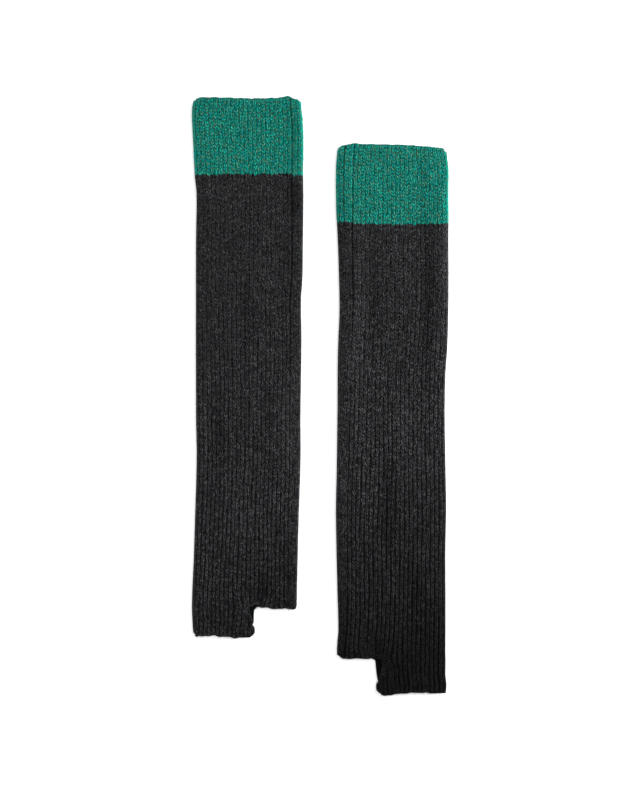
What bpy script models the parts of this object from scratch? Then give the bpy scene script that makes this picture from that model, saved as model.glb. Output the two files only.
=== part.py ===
"""Pair of long ribbed leg warmers with a contrast cuff band and an open heel, laid flat side by side.

Each leg warmer is a knitted tube pressed flat: the front layer lies on the back layer and both turn
into each other at two rounded side folds. It has two pieces, the cuff band and the leg knitted on to
it. The leg ends in a heel hem on its heel side. On the instep side it runs on as a flap, open at the
heel, and closes again into the narrow stirrup ring that goes under the foot.

Frame: X across the pair, +Y towards the cuffs, +Z up from the surface the pair lies on.
Tables and named sizes are in millimetres; meshes are in metres.
"""
import math
from collections import namedtuple

import bmesh
import bpy

MM = 0.001

# Knitted wall
WALL = 2.6             # plain wall that carries the ribs
LAYER_GAP = 0.5        # air between the two layers
FRONT_LIFT = 0.8       # how far the front layer floats above that gap between its creases
FOLD_REACH = 3.2       # how far a side fold swells out past the last rib
FOLD_TURNS = (0.7, 0.0, -0.7)      # heights of the points on a fold, 1 at the front and -1 at the back
JOIN_GAP = 0.33        # between the cuff and the leg, along the tube

# Ribs, counted across the front from the instep fold
RIBS = 25
SEAM_RIB = 22          # the valley in which the lengthwise seam lies
SEAM_DEPTH = 0.9       # how far the seam groove sinks below the other valleys
RIB_SHAPE = ((0.0, 0.0), (0.3, 1.0), (0.7, 1.0))   # a rib's points: share of its width, share of its rise
BACK_RIB_STEP = 2      # ribs between two points of the flat back
LINING_RIB_STEP = 2    # ribs between two points of the plain inside

# Rows of points down the tube
ROW_STEP = 30.0
EDGE_ROW = 8.0         # the row next to a free edge
EDGE_FADE = 30.0       # an edge's waves die out over this distance
JOIN_FADE = 20.0       # and those of the colour change over this one
FOLD_FADE = 12.0       # the front layer comes down to the folds over this distance

# One row for each section down the tube. centre is the middle's offset from the leg warmer's own axis,
# seam_in the distance from the heel fold in to the seam groove, and rib_rise the height of the ribs.
# Below the heel hem seam_in goes on setting the spacing of the ribs.
Section = namedtuple("Section", "down centre width seam_in rib_rise")
# One row for each bend of a free edge: across is 0 at the instep fold and 1 at the heel fold, drop is down.
EdgePoint = namedtuple("EdgePoint", "across drop")
# A soft trough in the front layer, or a ridge where depth is negative. across is from the instep fold.
Crease = namedtuple("Crease", "down across length breadth depth")
# A point round the tube: its place in ribs, its turn from front (1) to back (-1), the side to which a fold
# swells (-1 instep, 1 heel, 0 flat), its share of the ribs' rise and whether the inside has a point too.
Station = namedtuple("Station", "rib turn swell rise lined")
Strip = namedtuple("Strip", "upper lower runs")
LegWarmer = namedtuple("LegWarmer", "name axis_x top_y heel_side flap_ribs join join_step heel_hem "
                                    "stirrup hem sections top_edge heel_edge hem_edge creases")

LEFT = LegWarmer(
    name="left",
    axis_x=-86.7,
    top_y=357.6,
    heel_side=1,
    flap_ribs=14,
    join=91.4,
    join_step=1.4,
    heel_hem=612.6,
    stirrup=633.6,
    hem=646.6,
    sections=(
        Section(down=0.0, centre=-0.6, width=129.6, seam_in=13.4, rib_rise=0.6),
        Section(down=9.6, centre=-1.5, width=131.2, seam_in=13.4, rib_rise=0.7),
        Section(down=24.0, centre=-1.1, width=132.4, seam_in=13.4, rib_rise=0.7),
        Section(down=48.0, centre=0.0, width=132.2, seam_in=13.6, rib_rise=0.7),
        Section(down=91.4, centre=0.8, width=129.8, seam_in=13.4, rib_rise=0.7),
        Section(down=115.0, centre=2.1, width=127.7, seam_in=13.4, rib_rise=0.7),
        Section(down=170.0, centre=1.5, width=127.8, seam_in=13.2, rib_rise=0.8),
        Section(down=218.0, centre=1.1, width=127.3, seam_in=13.0, rib_rise=0.8),
        Section(down=242.0, centre=0.2, width=125.5, seam_in=12.8, rib_rise=0.9),
        Section(down=290.0, centre=0.5, width=126.2, seam_in=12.8, rib_rise=0.9),
        Section(down=386.0, centre=0.0, width=124.8, seam_in=12.6, rib_rise=1.0),
        Section(down=434.0, centre=0.4, width=124.2, seam_in=12.4, rib_rise=1.0),
        Section(down=506.0, centre=-1.7, width=123.9, seam_in=11.8, rib_rise=1.1),
        Section(down=554.0, centre=-3.1, width=124.2, seam_in=11.0, rib_rise=1.1),
        Section(down=602.0, centre=-4.6, width=125.3, seam_in=10.2, rib_rise=1.0),
        Section(down=615.0, centre=-4.7, width=125.3, seam_in=10.2, rib_rise=1.0),
        Section(down=630.0, centre=-4.3, width=124.9, seam_in=11.4, rib_rise=1.0),
        Section(down=636.0, centre=-4.1, width=124.8, seam_in=15.0, rib_rise=1.0),
        Section(down=647.0, centre=-4.0, width=124.6, seam_in=15.2, rib_rise=0.8),
    ),
    top_edge=(
        EdgePoint(across=0.00, drop=4.2),
        EdgePoint(across=0.04, drop=0.2),
        EdgePoint(across=0.08, drop=-1.2),
        EdgePoint(across=0.30, drop=-0.5),
        EdgePoint(across=0.55, drop=0.6),
        EdgePoint(across=0.77, drop=-0.2),
        EdgePoint(across=0.88, drop=-2.3),
        EdgePoint(across=0.93, drop=0.1),
        EdgePoint(across=0.97, drop=1.4),
        EdgePoint(across=1.00, drop=6.5),
    ),
    heel_edge=(
        EdgePoint(across=0.58, drop=4.2),
        EdgePoint(across=0.61, drop=1.2),
        EdgePoint(across=0.65, drop=-1.8),
        EdgePoint(across=0.74, drop=0.5),
        EdgePoint(across=0.83, drop=1.2),
        EdgePoint(across=0.95, drop=1.1),
        EdgePoint(across=1.00, drop=-2.6),
    ),
    hem_edge=(
        EdgePoint(across=0.00, drop=-6.4),
        EdgePoint(across=0.03, drop=0.0),
        EdgePoint(across=0.12, drop=-1.0),
        EdgePoint(across=0.24, drop=-0.6),
        EdgePoint(across=0.35, drop=0.8),
        EdgePoint(across=0.46, drop=1.5),
        EdgePoint(across=0.54, drop=-0.2),
        EdgePoint(across=0.60, drop=-4.0),
    ),
    creases=(
        Crease(down=118.0, across=116.0, length=74.0, breadth=22.0, depth=0.8),
        Crease(down=402.0, across=26.0, length=150.0, breadth=22.0, depth=0.6),
        Crease(down=400.0, across=97.0, length=330.0, breadth=18.0, depth=0.6),
        Crease(down=590.0, across=84.0, length=60.0, breadth=26.0, depth=0.7),
    ),
)

RIGHT = LegWarmer(
    name="right",
    axis_x=86.1,
    top_y=301.2,
    heel_side=-1,
    flap_ribs=15,
    join=94.4,
    join_step=-2.2,
    heel_hem=616.6,
    stirrup=646.8,
    hem=658.8,
    sections=(
        Section(down=0.0, centre=0.0, width=130.4, seam_in=19.2, rib_rise=0.6),
        Section(down=10.8, centre=-0.1, width=132.3, seam_in=19.2, rib_rise=0.7),
        Section(down=30.0, centre=0.2, width=134.8, seam_in=19.4, rib_rise=0.7),
        Section(down=59.0, centre=0.1, width=134.6, seam_in=19.2, rib_rise=0.7),
        Section(down=88.0, centre=0.6, width=134.2, seam_in=18.8, rib_rise=0.7),
        Section(down=107.0, centre=1.1, width=132.5, seam_in=18.0, rib_rise=0.7),
        Section(down=150.0, centre=1.9, width=131.2, seam_in=17.0, rib_rise=0.8),
        Section(down=198.0, centre=2.2, width=130.1, seam_in=16.0, rib_rise=0.9),
        Section(down=246.0, centre=0.6, width=130.6, seam_in=15.4, rib_rise=0.9),
        Section(down=270.0, centre=-0.6, width=129.0, seam_in=15.0, rib_rise=0.9),
        Section(down=318.0, centre=-1.2, width=128.2, seam_in=14.4, rib_rise=1.0),
        Section(down=390.0, centre=-1.2, width=130.1, seam_in=13.6, rib_rise=1.0),
        Section(down=438.0, centre=-1.3, width=131.8, seam_in=13.0, rib_rise=1.1),
        Section(down=486.0, centre=-1.4, width=130.2, seam_in=12.4, rib_rise=1.1),
        Section(down=534.0, centre=-0.8, width=129.2, seam_in=11.6, rib_rise=1.1),
        Section(down=582.0, centre=-0.2, width=128.0, seam_in=10.6, rib_rise=1.1),
        Section(down=604.0, centre=-1.1, width=129.6, seam_in=10.0, rib_rise=1.0),
        Section(down=618.0, centre=-1.0, width=129.8, seam_in=9.0, rib_rise=1.0),
        Section(down=638.0, centre=-1.1, width=129.8, seam_in=11.0, rib_rise=1.0),
        Section(down=648.0, centre=-1.3, width=129.8, seam_in=14.6, rib_rise=1.0),
        Section(down=659.0, centre=-2.0, width=129.0, seam_in=16.8, rib_rise=0.8),
    ),
    top_edge=(
        EdgePoint(across=0.00, drop=4.8),
        EdgePoint(across=0.03, drop=3.0),
        EdgePoint(across=0.13, drop=2.4),
        EdgePoint(across=0.25, drop=1.2),
        EdgePoint(across=0.40, drop=-0.2),
        EdgePoint(across=0.80, drop=-1.2),
        EdgePoint(across=0.85, drop=-2.4),
        EdgePoint(across=0.92, drop=-0.4),
        EdgePoint(across=0.96, drop=1.2),
        EdgePoint(across=1.00, drop=7.4),
    ),
    heel_edge=(
        EdgePoint(across=0.62, drop=3.6),
        EdgePoint(across=0.66, drop=1.8),
        EdgePoint(across=0.72, drop=0.6),
        EdgePoint(across=0.84, drop=0.2),
        EdgePoint(across=0.95, drop=0.5),
        EdgePoint(across=1.00, drop=-4.4),
    ),
    hem_edge=(
        EdgePoint(across=0.00, drop=-2.2),
        EdgePoint(across=0.05, drop=-1.0),
        EdgePoint(across=0.27, drop=-1.1),
        EdgePoint(across=0.42, drop=0.3),
        EdgePoint(across=0.52, drop=2.5),
        EdgePoint(across=0.57, drop=2.6),
        EdgePoint(across=0.60, drop=-0.6),
        EdgePoint(across=0.65, drop=-5.4),
    ),
    creases=(
        Crease(down=48.0, across=32.0, length=110.0, breadth=22.0, depth=0.5),
        Crease(down=205.0, across=24.0, length=250.0, breadth=18.0, depth=0.8),
        Crease(down=170.0, across=88.0, length=190.0, breadth=20.0, depth=0.5),
        Crease(down=440.0, across=70.0, length=200.0, breadth=30.0, depth=0.5),
        Crease(down=610.0, across=78.0, length=60.0, breadth=24.0, depth=0.7),
    ),
)

# Finish: linear colour and roughness of each yarn
YARNS = {
    "charcoal_wool": ((0.022, 0.022, 0.023, 1.0), 0.95),
    "teal_green_wool": ((0.012, 0.168, 0.123, 1.0), 0.95),
}


def start_empty():
    """Remove the scene's own objects."""
    for thing in list(bpy.data.objects):
        bpy.data.objects.remove(thing, do_unlink=True)


def bump(distance):
    """A soft hump: 1 at 0, level with the ground at 1 and beyond."""
    return (1.0 - distance * distance) ** 2 if abs(distance) < 1.0 else 0.0


def curve_through(before, start, end, after, share):
    """Smooth value a share of the way from start to end, heading as its neighbours do."""
    leave = 0.5 * (end - before)
    arrive = 0.5 * (after - start)
    bend = share * share * (3.0 - 2.0 * share)
    lean_out = share * (1.0 - share) ** 2
    lean_in = share * share * (share - 1.0)
    return start + (end - start) * bend + leave * lean_out + arrive * lean_in


def section_at(sections, down):
    """The section a distance down the tube, on smooth curves through the table's rows."""
    last = len(sections) - 1
    after = next((i for i, row in enumerate(sections) if row.down > down), last)
    before = max(after - 1, 0)
    span = sections[after].down - sections[before].down
    share = min(max((down - sections[before].down) / span, 0.0), 1.0) if span else 0.0
    around = (sections[max(before - 1, 0)], sections[before], sections[after],
              sections[min(after + 1, last)])
    return Section(down, *(curve_through(*values, share) for values in list(zip(*around))[1:]))


def drop_at(edge, across):
    """How far a free edge hangs below its level at this place across the tube."""
    if across <= edge[0].across:
        return edge[0].drop
    for start, end in zip(edge, edge[1:]):
        if across <= end.across:
            share = (across - start.across) / (end.across - start.across)
            return start.drop + (end.drop - start.drop) * share
    return edge[-1].drop


def fade(distance, reach):
    """1 at an edge, falling softly to 0 at reach."""
    return max(0.0, 1.0 - abs(distance) / reach) ** 2


def rib_place(section, rib):
    """Distance of a rib from the instep fold: even up to the seam, and even from there to the heel fold."""
    seam = section.width - section.seam_in
    if rib <= SEAM_RIB:
        return FOLD_REACH + (seam - FOLD_REACH) * rib / SEAM_RIB
    share = (rib - SEAM_RIB) / (RIBS - SEAM_RIB)
    return seam + (section.width - FOLD_REACH - seam) * share


def front_lift(warmer, section, place):
    """How far the front layer floats at a place across: creases press it down on the back layer."""
    pressed = sum(crease.depth * bump(2.0 * (section.down - crease.down) / crease.length)
                  * bump(2.0 * (place - crease.across) / crease.breadth) for crease in warmer.creases)
    near_fold = min(place, section.width - place) / FOLD_FADE
    return max(0.0, FRONT_LIFT - pressed) * min(1.0, max(0.0, near_fold))


def lengthwise(warmer, down, across, rib):
    """Distance down the tube of a point, moved by the waves of the free edges and the colour change."""
    top = drop_at(warmer.top_edge, across) * fade(down, EDGE_FADE)
    join = warmer.join_step * fade(down - warmer.join, JOIN_FADE) * min(1.0, max(0.0, rib - SEAM_RIB))
    heel = drop_at(warmer.heel_edge, across) * fade(down - warmer.heel_hem, EDGE_FADE)
    hem = drop_at(warmer.hem_edge, across) * fade(down - warmer.hem, warmer.hem - warmer.heel_hem)
    return down + top + join + heel * heel_share(warmer, rib) + hem


def heel_share(warmer, rib):
    """1 on the heel side of the flap's open edge, falling to 0 over two ribs of the flap."""
    return min(1.0, max(0.0, 1.0 + (rib - warmer.flap_ribs) / 2.0))


def point_on(warmer, down, station, inside):
    """Place of a station's point on the outer face of the wall, or on its plain inside."""
    section = section_at(warmer.sections, down)
    reach = FOLD_REACH - WALL if inside else FOLD_REACH
    place = rib_place(section, station.rib) + station.swell * reach * math.sqrt(1.0 - station.turn ** 2)
    lift = front_lift(warmer, section, place) * max(station.turn, 0.0)
    if inside:
        height = WALL + LAYER_GAP * (1.0 + station.turn) / 2.0 + lift
    else:
        height = (2.0 * WALL + LAYER_GAP) * (1.0 + station.turn) / 2.0 + lift
        height += section.rib_rise * station.rise
        if station.turn == 1.0 and station.rib == SEAM_RIB:
            height -= SEAM_DEPTH
    away = warmer.heel_side * (place - section.width / 2.0)
    return (
        (warmer.axis_x + section.centre + away) * MM,
        (warmer.top_y - lengthwise(warmer, down, place / section.width, station.rib)) * MM,
        height * MM,
    )


def fold_stations(rib, swell, turns):
    """Stations round a side fold. Only the outermost has a point on the inside."""
    return [Station(rib, turn, swell, 0.0, turn == 0.0) for turn in turns]


def flat_station(rib, turn, lined_ribs):
    """Station in a valley of the front or on the flat back."""
    return Station(rib, turn, 0, 0.0, rib in lined_ribs)


def ring_stations(warmer):
    """All stations round the tube: front, heel fold, back and instep fold."""
    lined_ribs = set(range(0, RIBS, LINING_RIB_STEP)) | {warmer.flap_ribs, SEAM_RIB, SEAM_RIB + 1, RIBS}
    back_ribs = sorted(set(range(0, RIBS, BACK_RIB_STEP)) | lined_ribs, reverse=True)
    front = [Station(rib + share, 1.0, 0, rise, share == 0.0 and rib in lined_ribs)
             for rib in range(RIBS) for share, rise in RIB_SHAPE]
    last_valley = flat_station(RIBS, 1.0, lined_ribs)
    back = [flat_station(rib, -1.0, lined_ribs) for rib in back_ribs]
    heel_fold = fold_stations(RIBS, 1, FOLD_TURNS)
    instep_fold = fold_stations(0, -1, FOLD_TURNS[::-1])
    return front + [last_valley] + heel_fold + back + instep_fold


def flap_stations(warmer):
    """The stations of the instep flap, from its open edge at the back round to the one at the front."""
    ring = ring_stations(warmer)
    back_edge = ring.index(flat_station(warmer.flap_ribs, -1.0, [warmer.flap_ribs]))
    front_edge = ring.index(flat_station(warmer.flap_ribs, 1.0, [warmer.flap_ribs]))
    return ring[back_edge:] + ring[:front_edge + 1]


def row_places(start, end, free_start=False, free_end=False):
    """Even rows from start to end, with one more next to each free edge."""
    first = start + EDGE_ROW if free_start else start
    last = end - EDGE_ROW if free_end else end
    count = max(1, round((last - first) / ROW_STEP))
    rows = [first + (last - first) * i / count for i in range(count + 1)]
    return ([start] if free_start else []) + rows + ([end] if free_end else [])


def strips_between(rows, runs):
    """A strip of wall between each two rows, all with the same runs of stations."""
    return [Strip(upper, lower, runs) for upper, lower in zip(rows, rows[1:])]


def cuff_strips(warmer):
    """The cuff band: a whole tube from the top edge to the colour change."""
    ring = ring_stations(warmer)
    rows = row_places(0.0, warmer.join - JOIN_GAP / 2.0, free_start=True)
    return strips_between(rows, [ring + ring[:1]])


def leg_strips(warmer):
    """The leg: a whole tube to the heel hem, then the open flap, then the closed stirrup ring."""
    ring = ring_stations(warmer)
    flap = flap_stations(warmer)
    closing = flap[-1:] + fold_stations(warmer.flap_ribs, 1, FOLD_TURNS) + flap[:1]
    leg_rows = row_places(warmer.join + JOIN_GAP / 2.0, warmer.heel_hem, free_end=True)
    flap_rows = (warmer.heel_hem, (warmer.heel_hem + warmer.stirrup) / 2.0, warmer.stirrup)
    stirrup_rows = (warmer.stirrup, (warmer.stirrup + warmer.hem) / 2.0, warmer.hem)
    return (strips_between(leg_rows, [ring + ring[:1]])
            + strips_between(flap_rows, [flap])
            + strips_between(stirrup_rows, [flap, closing]))


def lined_groups(run):
    """Neighbouring stations of a run in groups, each from one station with an inside to the next."""
    groups, group = [], [run[0]]
    for station in run[1:]:
        group.append(station)
        if station.lined:
            groups.append(tuple(group))
            group = [station]
    return groups


def add_knitted_tube(name, warmer, strips, yarn, collection):
    """One closed wall: ribbed outer face, plain inside, and a rim along each edge and opening."""
    bm = bmesh.new()
    made = {}

    def vert(down, station, inside):
        key = (down, station, inside)
        if key not in made:
            made[key] = bm.verts.new(point_on(warmer, down, station, inside))
        return made[key]

    def wall(strip, group):
        for start, end in zip(group, group[1:]):
            bm.faces.new([vert(strip.upper, start, False), vert(strip.upper, end, False),
                          vert(strip.lower, end, False), vert(strip.lower, start, False)])
        bm.faces.new([vert(strip.upper, group[0], True), vert(strip.lower, group[0], True),
                      vert(strip.lower, group[-1], True), vert(strip.upper, group[-1], True)])

    def rim(down, group):
        bm.faces.new([vert(down, station, False) for station in group]
                     + [vert(down, group[-1], True), vert(down, group[0], True)])

    def open_edge(strip, station):
        bm.faces.new([vert(strip.upper, station, False), vert(strip.lower, station, False),
                      vert(strip.lower, station, True), vert(strip.upper, station, True)])

    above = set()
    for strip in strips:
        groups = [group for run in strip.runs for group in lined_groups(run)]
        for group in groups:
            wall(strip, group)
        for group in sorted(above.symmetric_difference(groups)):
            rim(strip.upper, group)
        ends = [station for run in strip.runs for station in (run[0], run[-1])]
        for station in ends:
            if ends.count(station) == 1:
                open_edge(strip, station)
        above = set(groups)
    for group in sorted(above):
        rim(strips[-1].lower, group)

    bmesh.ops.recalc_face_normals(bm, faces=bm.faces)
    mesh = bpy.data.meshes.new(name)
    bm.to_mesh(mesh)
    bm.free()
    mesh.shade_smooth()
    mesh.set_sharp_from_angle(angle=math.radians(30.0))
    mesh.materials.append(yarn)
    tube = bpy.data.objects.new(name, mesh)
    collection.objects.link(tube)
    return tube


def make_yarn(name):
    """Material of one yarn."""
    colour, roughness = YARNS[name]
    material = bpy.data.materials.new(name)
    material.use_nodes = True
    surface = material.node_tree.nodes["Principled BSDF"]
    surface.inputs["Base Color"].default_value = colour
    surface.inputs["Roughness"].default_value = roughness
    surface.inputs["Metallic"].default_value = 0.0
    return material


def centre_footprint(tubes):
    """Move all meshes alike, so that the middle of the pair's footprint is the origin."""
    points = [vertex.co for tube in tubes for vertex in tube.data.vertices]
    middle = [(min(p[axis] for p in points) + max(p[axis] for p in points)) / 2.0 for axis in (0, 1)]
    for tube in tubes:
        for vertex in tube.data.vertices:
            vertex.co.x -= middle[0]
            vertex.co.y -= middle[1]
        tube.data.update()


def main():
    """Build the pair: a cuff and a leg for each."""
    start_empty()
    collection = bpy.data.collections.new("leg_warmers")
    bpy.context.scene.collection.children.link(collection)
    charcoal = make_yarn("charcoal_wool")
    green = make_yarn("teal_green_wool")
    tubes = []
    for warmer in (LEFT, RIGHT):
        tubes.append(add_knitted_tube(f"{warmer.name}_cuff", warmer, cuff_strips(warmer), green, collection))
        tubes.append(add_knitted_tube(f"{warmer.name}_leg", warmer, leg_strips(warmer), charcoal, collection))
    centre_footprint(tubes)


main()
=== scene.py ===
"""Looks of a pair of long ribbed leg warmers with a contrast cuff band and an open heel, laid flat.

Each leg warmer is dressed as it is knitted: a thin ribbed cloth on the form of its solids, a loop of
yarn for every stitch, a chain of loops round each free edge, bars across the lengthwise seam, and a
short fuzz over it all. Tables and named sizes are in millimetres; meshes are in metres.
"""

import enum
import logging
import math
import random
from dataclasses import dataclass, field
from typing import Iterable, NamedTuple

import bmesh
import bpy
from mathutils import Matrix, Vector


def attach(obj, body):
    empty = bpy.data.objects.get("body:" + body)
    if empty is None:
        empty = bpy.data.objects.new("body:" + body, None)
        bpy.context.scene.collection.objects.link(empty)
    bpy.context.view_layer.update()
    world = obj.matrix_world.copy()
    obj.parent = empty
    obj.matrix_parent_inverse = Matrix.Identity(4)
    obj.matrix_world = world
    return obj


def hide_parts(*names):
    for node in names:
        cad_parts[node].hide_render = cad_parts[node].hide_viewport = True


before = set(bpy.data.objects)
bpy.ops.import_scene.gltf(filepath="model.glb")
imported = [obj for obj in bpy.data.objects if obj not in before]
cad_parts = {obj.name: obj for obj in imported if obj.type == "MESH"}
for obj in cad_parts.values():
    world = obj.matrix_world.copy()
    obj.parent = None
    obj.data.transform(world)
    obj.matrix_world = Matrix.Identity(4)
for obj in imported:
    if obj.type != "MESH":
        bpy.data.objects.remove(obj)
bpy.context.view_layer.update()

MM = 0.001
FRONT = 90.0
BACK = -90.0
# Steps to either side, in ribs and in mm, over which the cloth's direction is read.
RIB_PROBE = 0.2
ROW_PROBE = 1.5
# Margins in a unit's square of the map: beside each strand and beyond its ends.
MAP_MARGIN = 0.06
END_MARGIN = 0.04
LOG = logging.getLogger("leg_warmers")


class Yarn(enum.Enum):
    """The two yarns, by the record's material slots."""

    CHARCOAL = "charcoal_wool"
    TEAL_GREEN = "teal_green_wool"


class Hand(enum.Enum):
    """Which of the pair: the value is the side of its heel, 1 at the right and -1 at the left."""

    LEFT = 1
    RIGHT = -1


class Part(enum.Enum):
    """The two knitted parts of a leg warmer."""

    CUFF = "cuff"
    LEG = "leg"


class Section(NamedTuple):
    """Section down the tube: its middle's offset, width, seam's distance in and rise of the ribs."""

    down: float
    centre: float
    width: float
    seam_in: float
    rib_rise: float


class EdgePoint(NamedTuple):
    """Bend of a free edge: across is 0 at the instep fold and 1 at the heel fold, drop is down."""

    across: float
    drop: float


class Crease(NamedTuple):
    """Soft trough in a layer, or a ridge where depth is negative; across is from the instep fold. A trough
    also darkens the yarn's colour with painted shade, and a ridge lightens it with painted light.
    """

    down: float
    across: float
    length: float
    breadth: float
    depth: float


class GroovePoint(NamedTuple):
    """Width of a lengthwise groove at a distance down the tube."""

    down: float
    gap: float


class Groove(NamedTuple):
    """Lengthwise groove of the front: its rib, the share taken from the rib before it and its widths."""

    rib: int
    before: float
    widths: tuple[GroovePoint, ...]

    def gap(self, down: float) -> float:
        """Width of the groove at a distance down the tube."""
        return along_table(self.widths, down)


class Inset(NamedTuple):
    """How far the front's open edge at the flap is drawn in, at a distance below the heel hem."""

    below_hem: float
    reach: float


class Wave(NamedTuple):
    """Sideways wave of the ribs: its height, its length down the tube and its slant across it."""

    height: float
    length: float
    slant: float


class Station(NamedTuple):
    """Place round the tube: its rib, its angle (90 front, -90 back) and its fold (-1 instep, 1 heel)."""

    rib: float
    angle: float = FRONT
    fold: int = 0


class Strip(NamedTuple):
    """Band of cloth between two rows, with the runs of stations that it spans."""

    upper: float
    lower: float
    runs: tuple[tuple[Station, ...], ...]


class Anchor(NamedTuple):
    """Place of one loop or fibre, in metres, its two directions, size, looseness and painted shade."""

    point: Vector
    facing: Vector
    along: Vector
    size: tuple[float, float, float]
    loose: float
    shade: float = 0.0


@dataclass(frozen=True)
class KnitGauge:
    """Sizes of the knitted cloth that both leg warmers share."""

    # The tube: its wall, its two layers and its folds.
    wall: float = 2.6
    layer_gap: float = 0.5
    front_lift: float = 0.8
    fold_reach: float = 3.2
    fold_fade: float = 12.0
    fold_fill: float = 0.85
    closing_start: float = 0.25
    closing_ease: float = 5.0
    # Waves of the free edges, and the pull at the inner corner of the heel.
    edge_fade: float = 30.0
    join_fade: float = 20.0
    ripple_length: float = 17.0
    ripple_fade: float = 12.0
    fine_ripple: float = 0.5
    fine_ripple_length: float = 0.57
    top_ripple: float = 0.5
    gather_reach: float = 35.0
    gather_fade: float = 24.0
    gather_pull: float = 0.46
    corner_ribs: float = 2.6
    corner_fade: float = 20.0
    inset_ribs: float = 5.0
    # Ribs and the seam.
    ribs: int = 25
    seam_rib: int = 22
    seam_depth: float = 0.6
    seam_breadth: float = 0.55
    seam_ridge: float = 0.5
    rib_swell: float = 0.9
    swell_level: float = 0.45
    fold_swell: tuple[float, float] = (0.3, 0.8)
    sways: tuple[Wave, ...] = (
        Wave(height=0.55, length=64.0, slant=33.0),
        Wave(height=0.28, length=23.0, slant=-15.0),
    )
    sway_ease: float = 20.0
    heel_sway_ease: float = 30.0
    # Loops: how deep they are set, how far they stand out and how much of a rib they fill.
    front_bed: float = 1.1
    back_bed: float = 1.0
    back_crest: float = -0.45
    row: float = 3.9
    loop_height: float = 1.3
    upper_end: float = 60.0
    lower_reach: float = 420.0
    upper_fill: float = 0.95
    lower_fill: float = 0.71
    strip_fill: float = 1.0
    groove_ribs: float = 0.8
    full_groove: float = 2.0
    last_green: float = 0.9
    last_green_lengths: tuple[float, float] = (1.1, 1.9)
    # How uneven they are.
    phase_ease: float = 18.0
    phase_hold: float = 0.1
    join_phase: float = 0.45
    stray: float = 0.075
    stray_start: float = 14.0
    stray_length: float = 27.0
    fine_stray: float = 0.6
    fine_stray_start: float = 2.3
    fine_stray_length: float = 11.0
    stray_head: float = 0.35
    stray_reach: float = 260.0
    upper_loose: float = 1.25
    lower_tightening: float = 0.4
    fold_loose: tuple[float, float] = (0.5, 0.3)
    # Painted shade: how much a crease's depth darkens the yarn's colour, or a ridge lightens it.
    crease_shade: float = 0.9

    def folds_round(self) -> float:
        """Length of cloth round both folds together."""
        return math.pi * (self.wall + self.layer_gap / 2.0 + self.fold_reach)


@dataclass(frozen=True)
class Cut:
    """One leg warmer's own sizes, the same as its solids'."""

    hand: Hand
    axis_x: float
    top_y: float
    flap_ribs: int
    join: float
    heel_hem: float
    stirrup: float
    hem: float
    sections: tuple[Section, ...]
    top_edge: tuple[EdgePoint, ...]
    join_edge: tuple[EdgePoint, ...]
    heel_edge: tuple[EdgePoint, ...]
    hem_edge: tuple[EdgePoint, ...]
    creases: tuple[Crease, ...]
    back_creases: tuple[Crease, ...]
    insets: tuple[Inset, ...]
    grooves: tuple[Groove, ...]
    ripple: float
    corner_rise: float
    wave_start: float
    seed: int

    @property
    def name(self) -> str:
        """Name of the leg warmer in its pieces' names."""
        return self.hand.name.lower()


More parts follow.
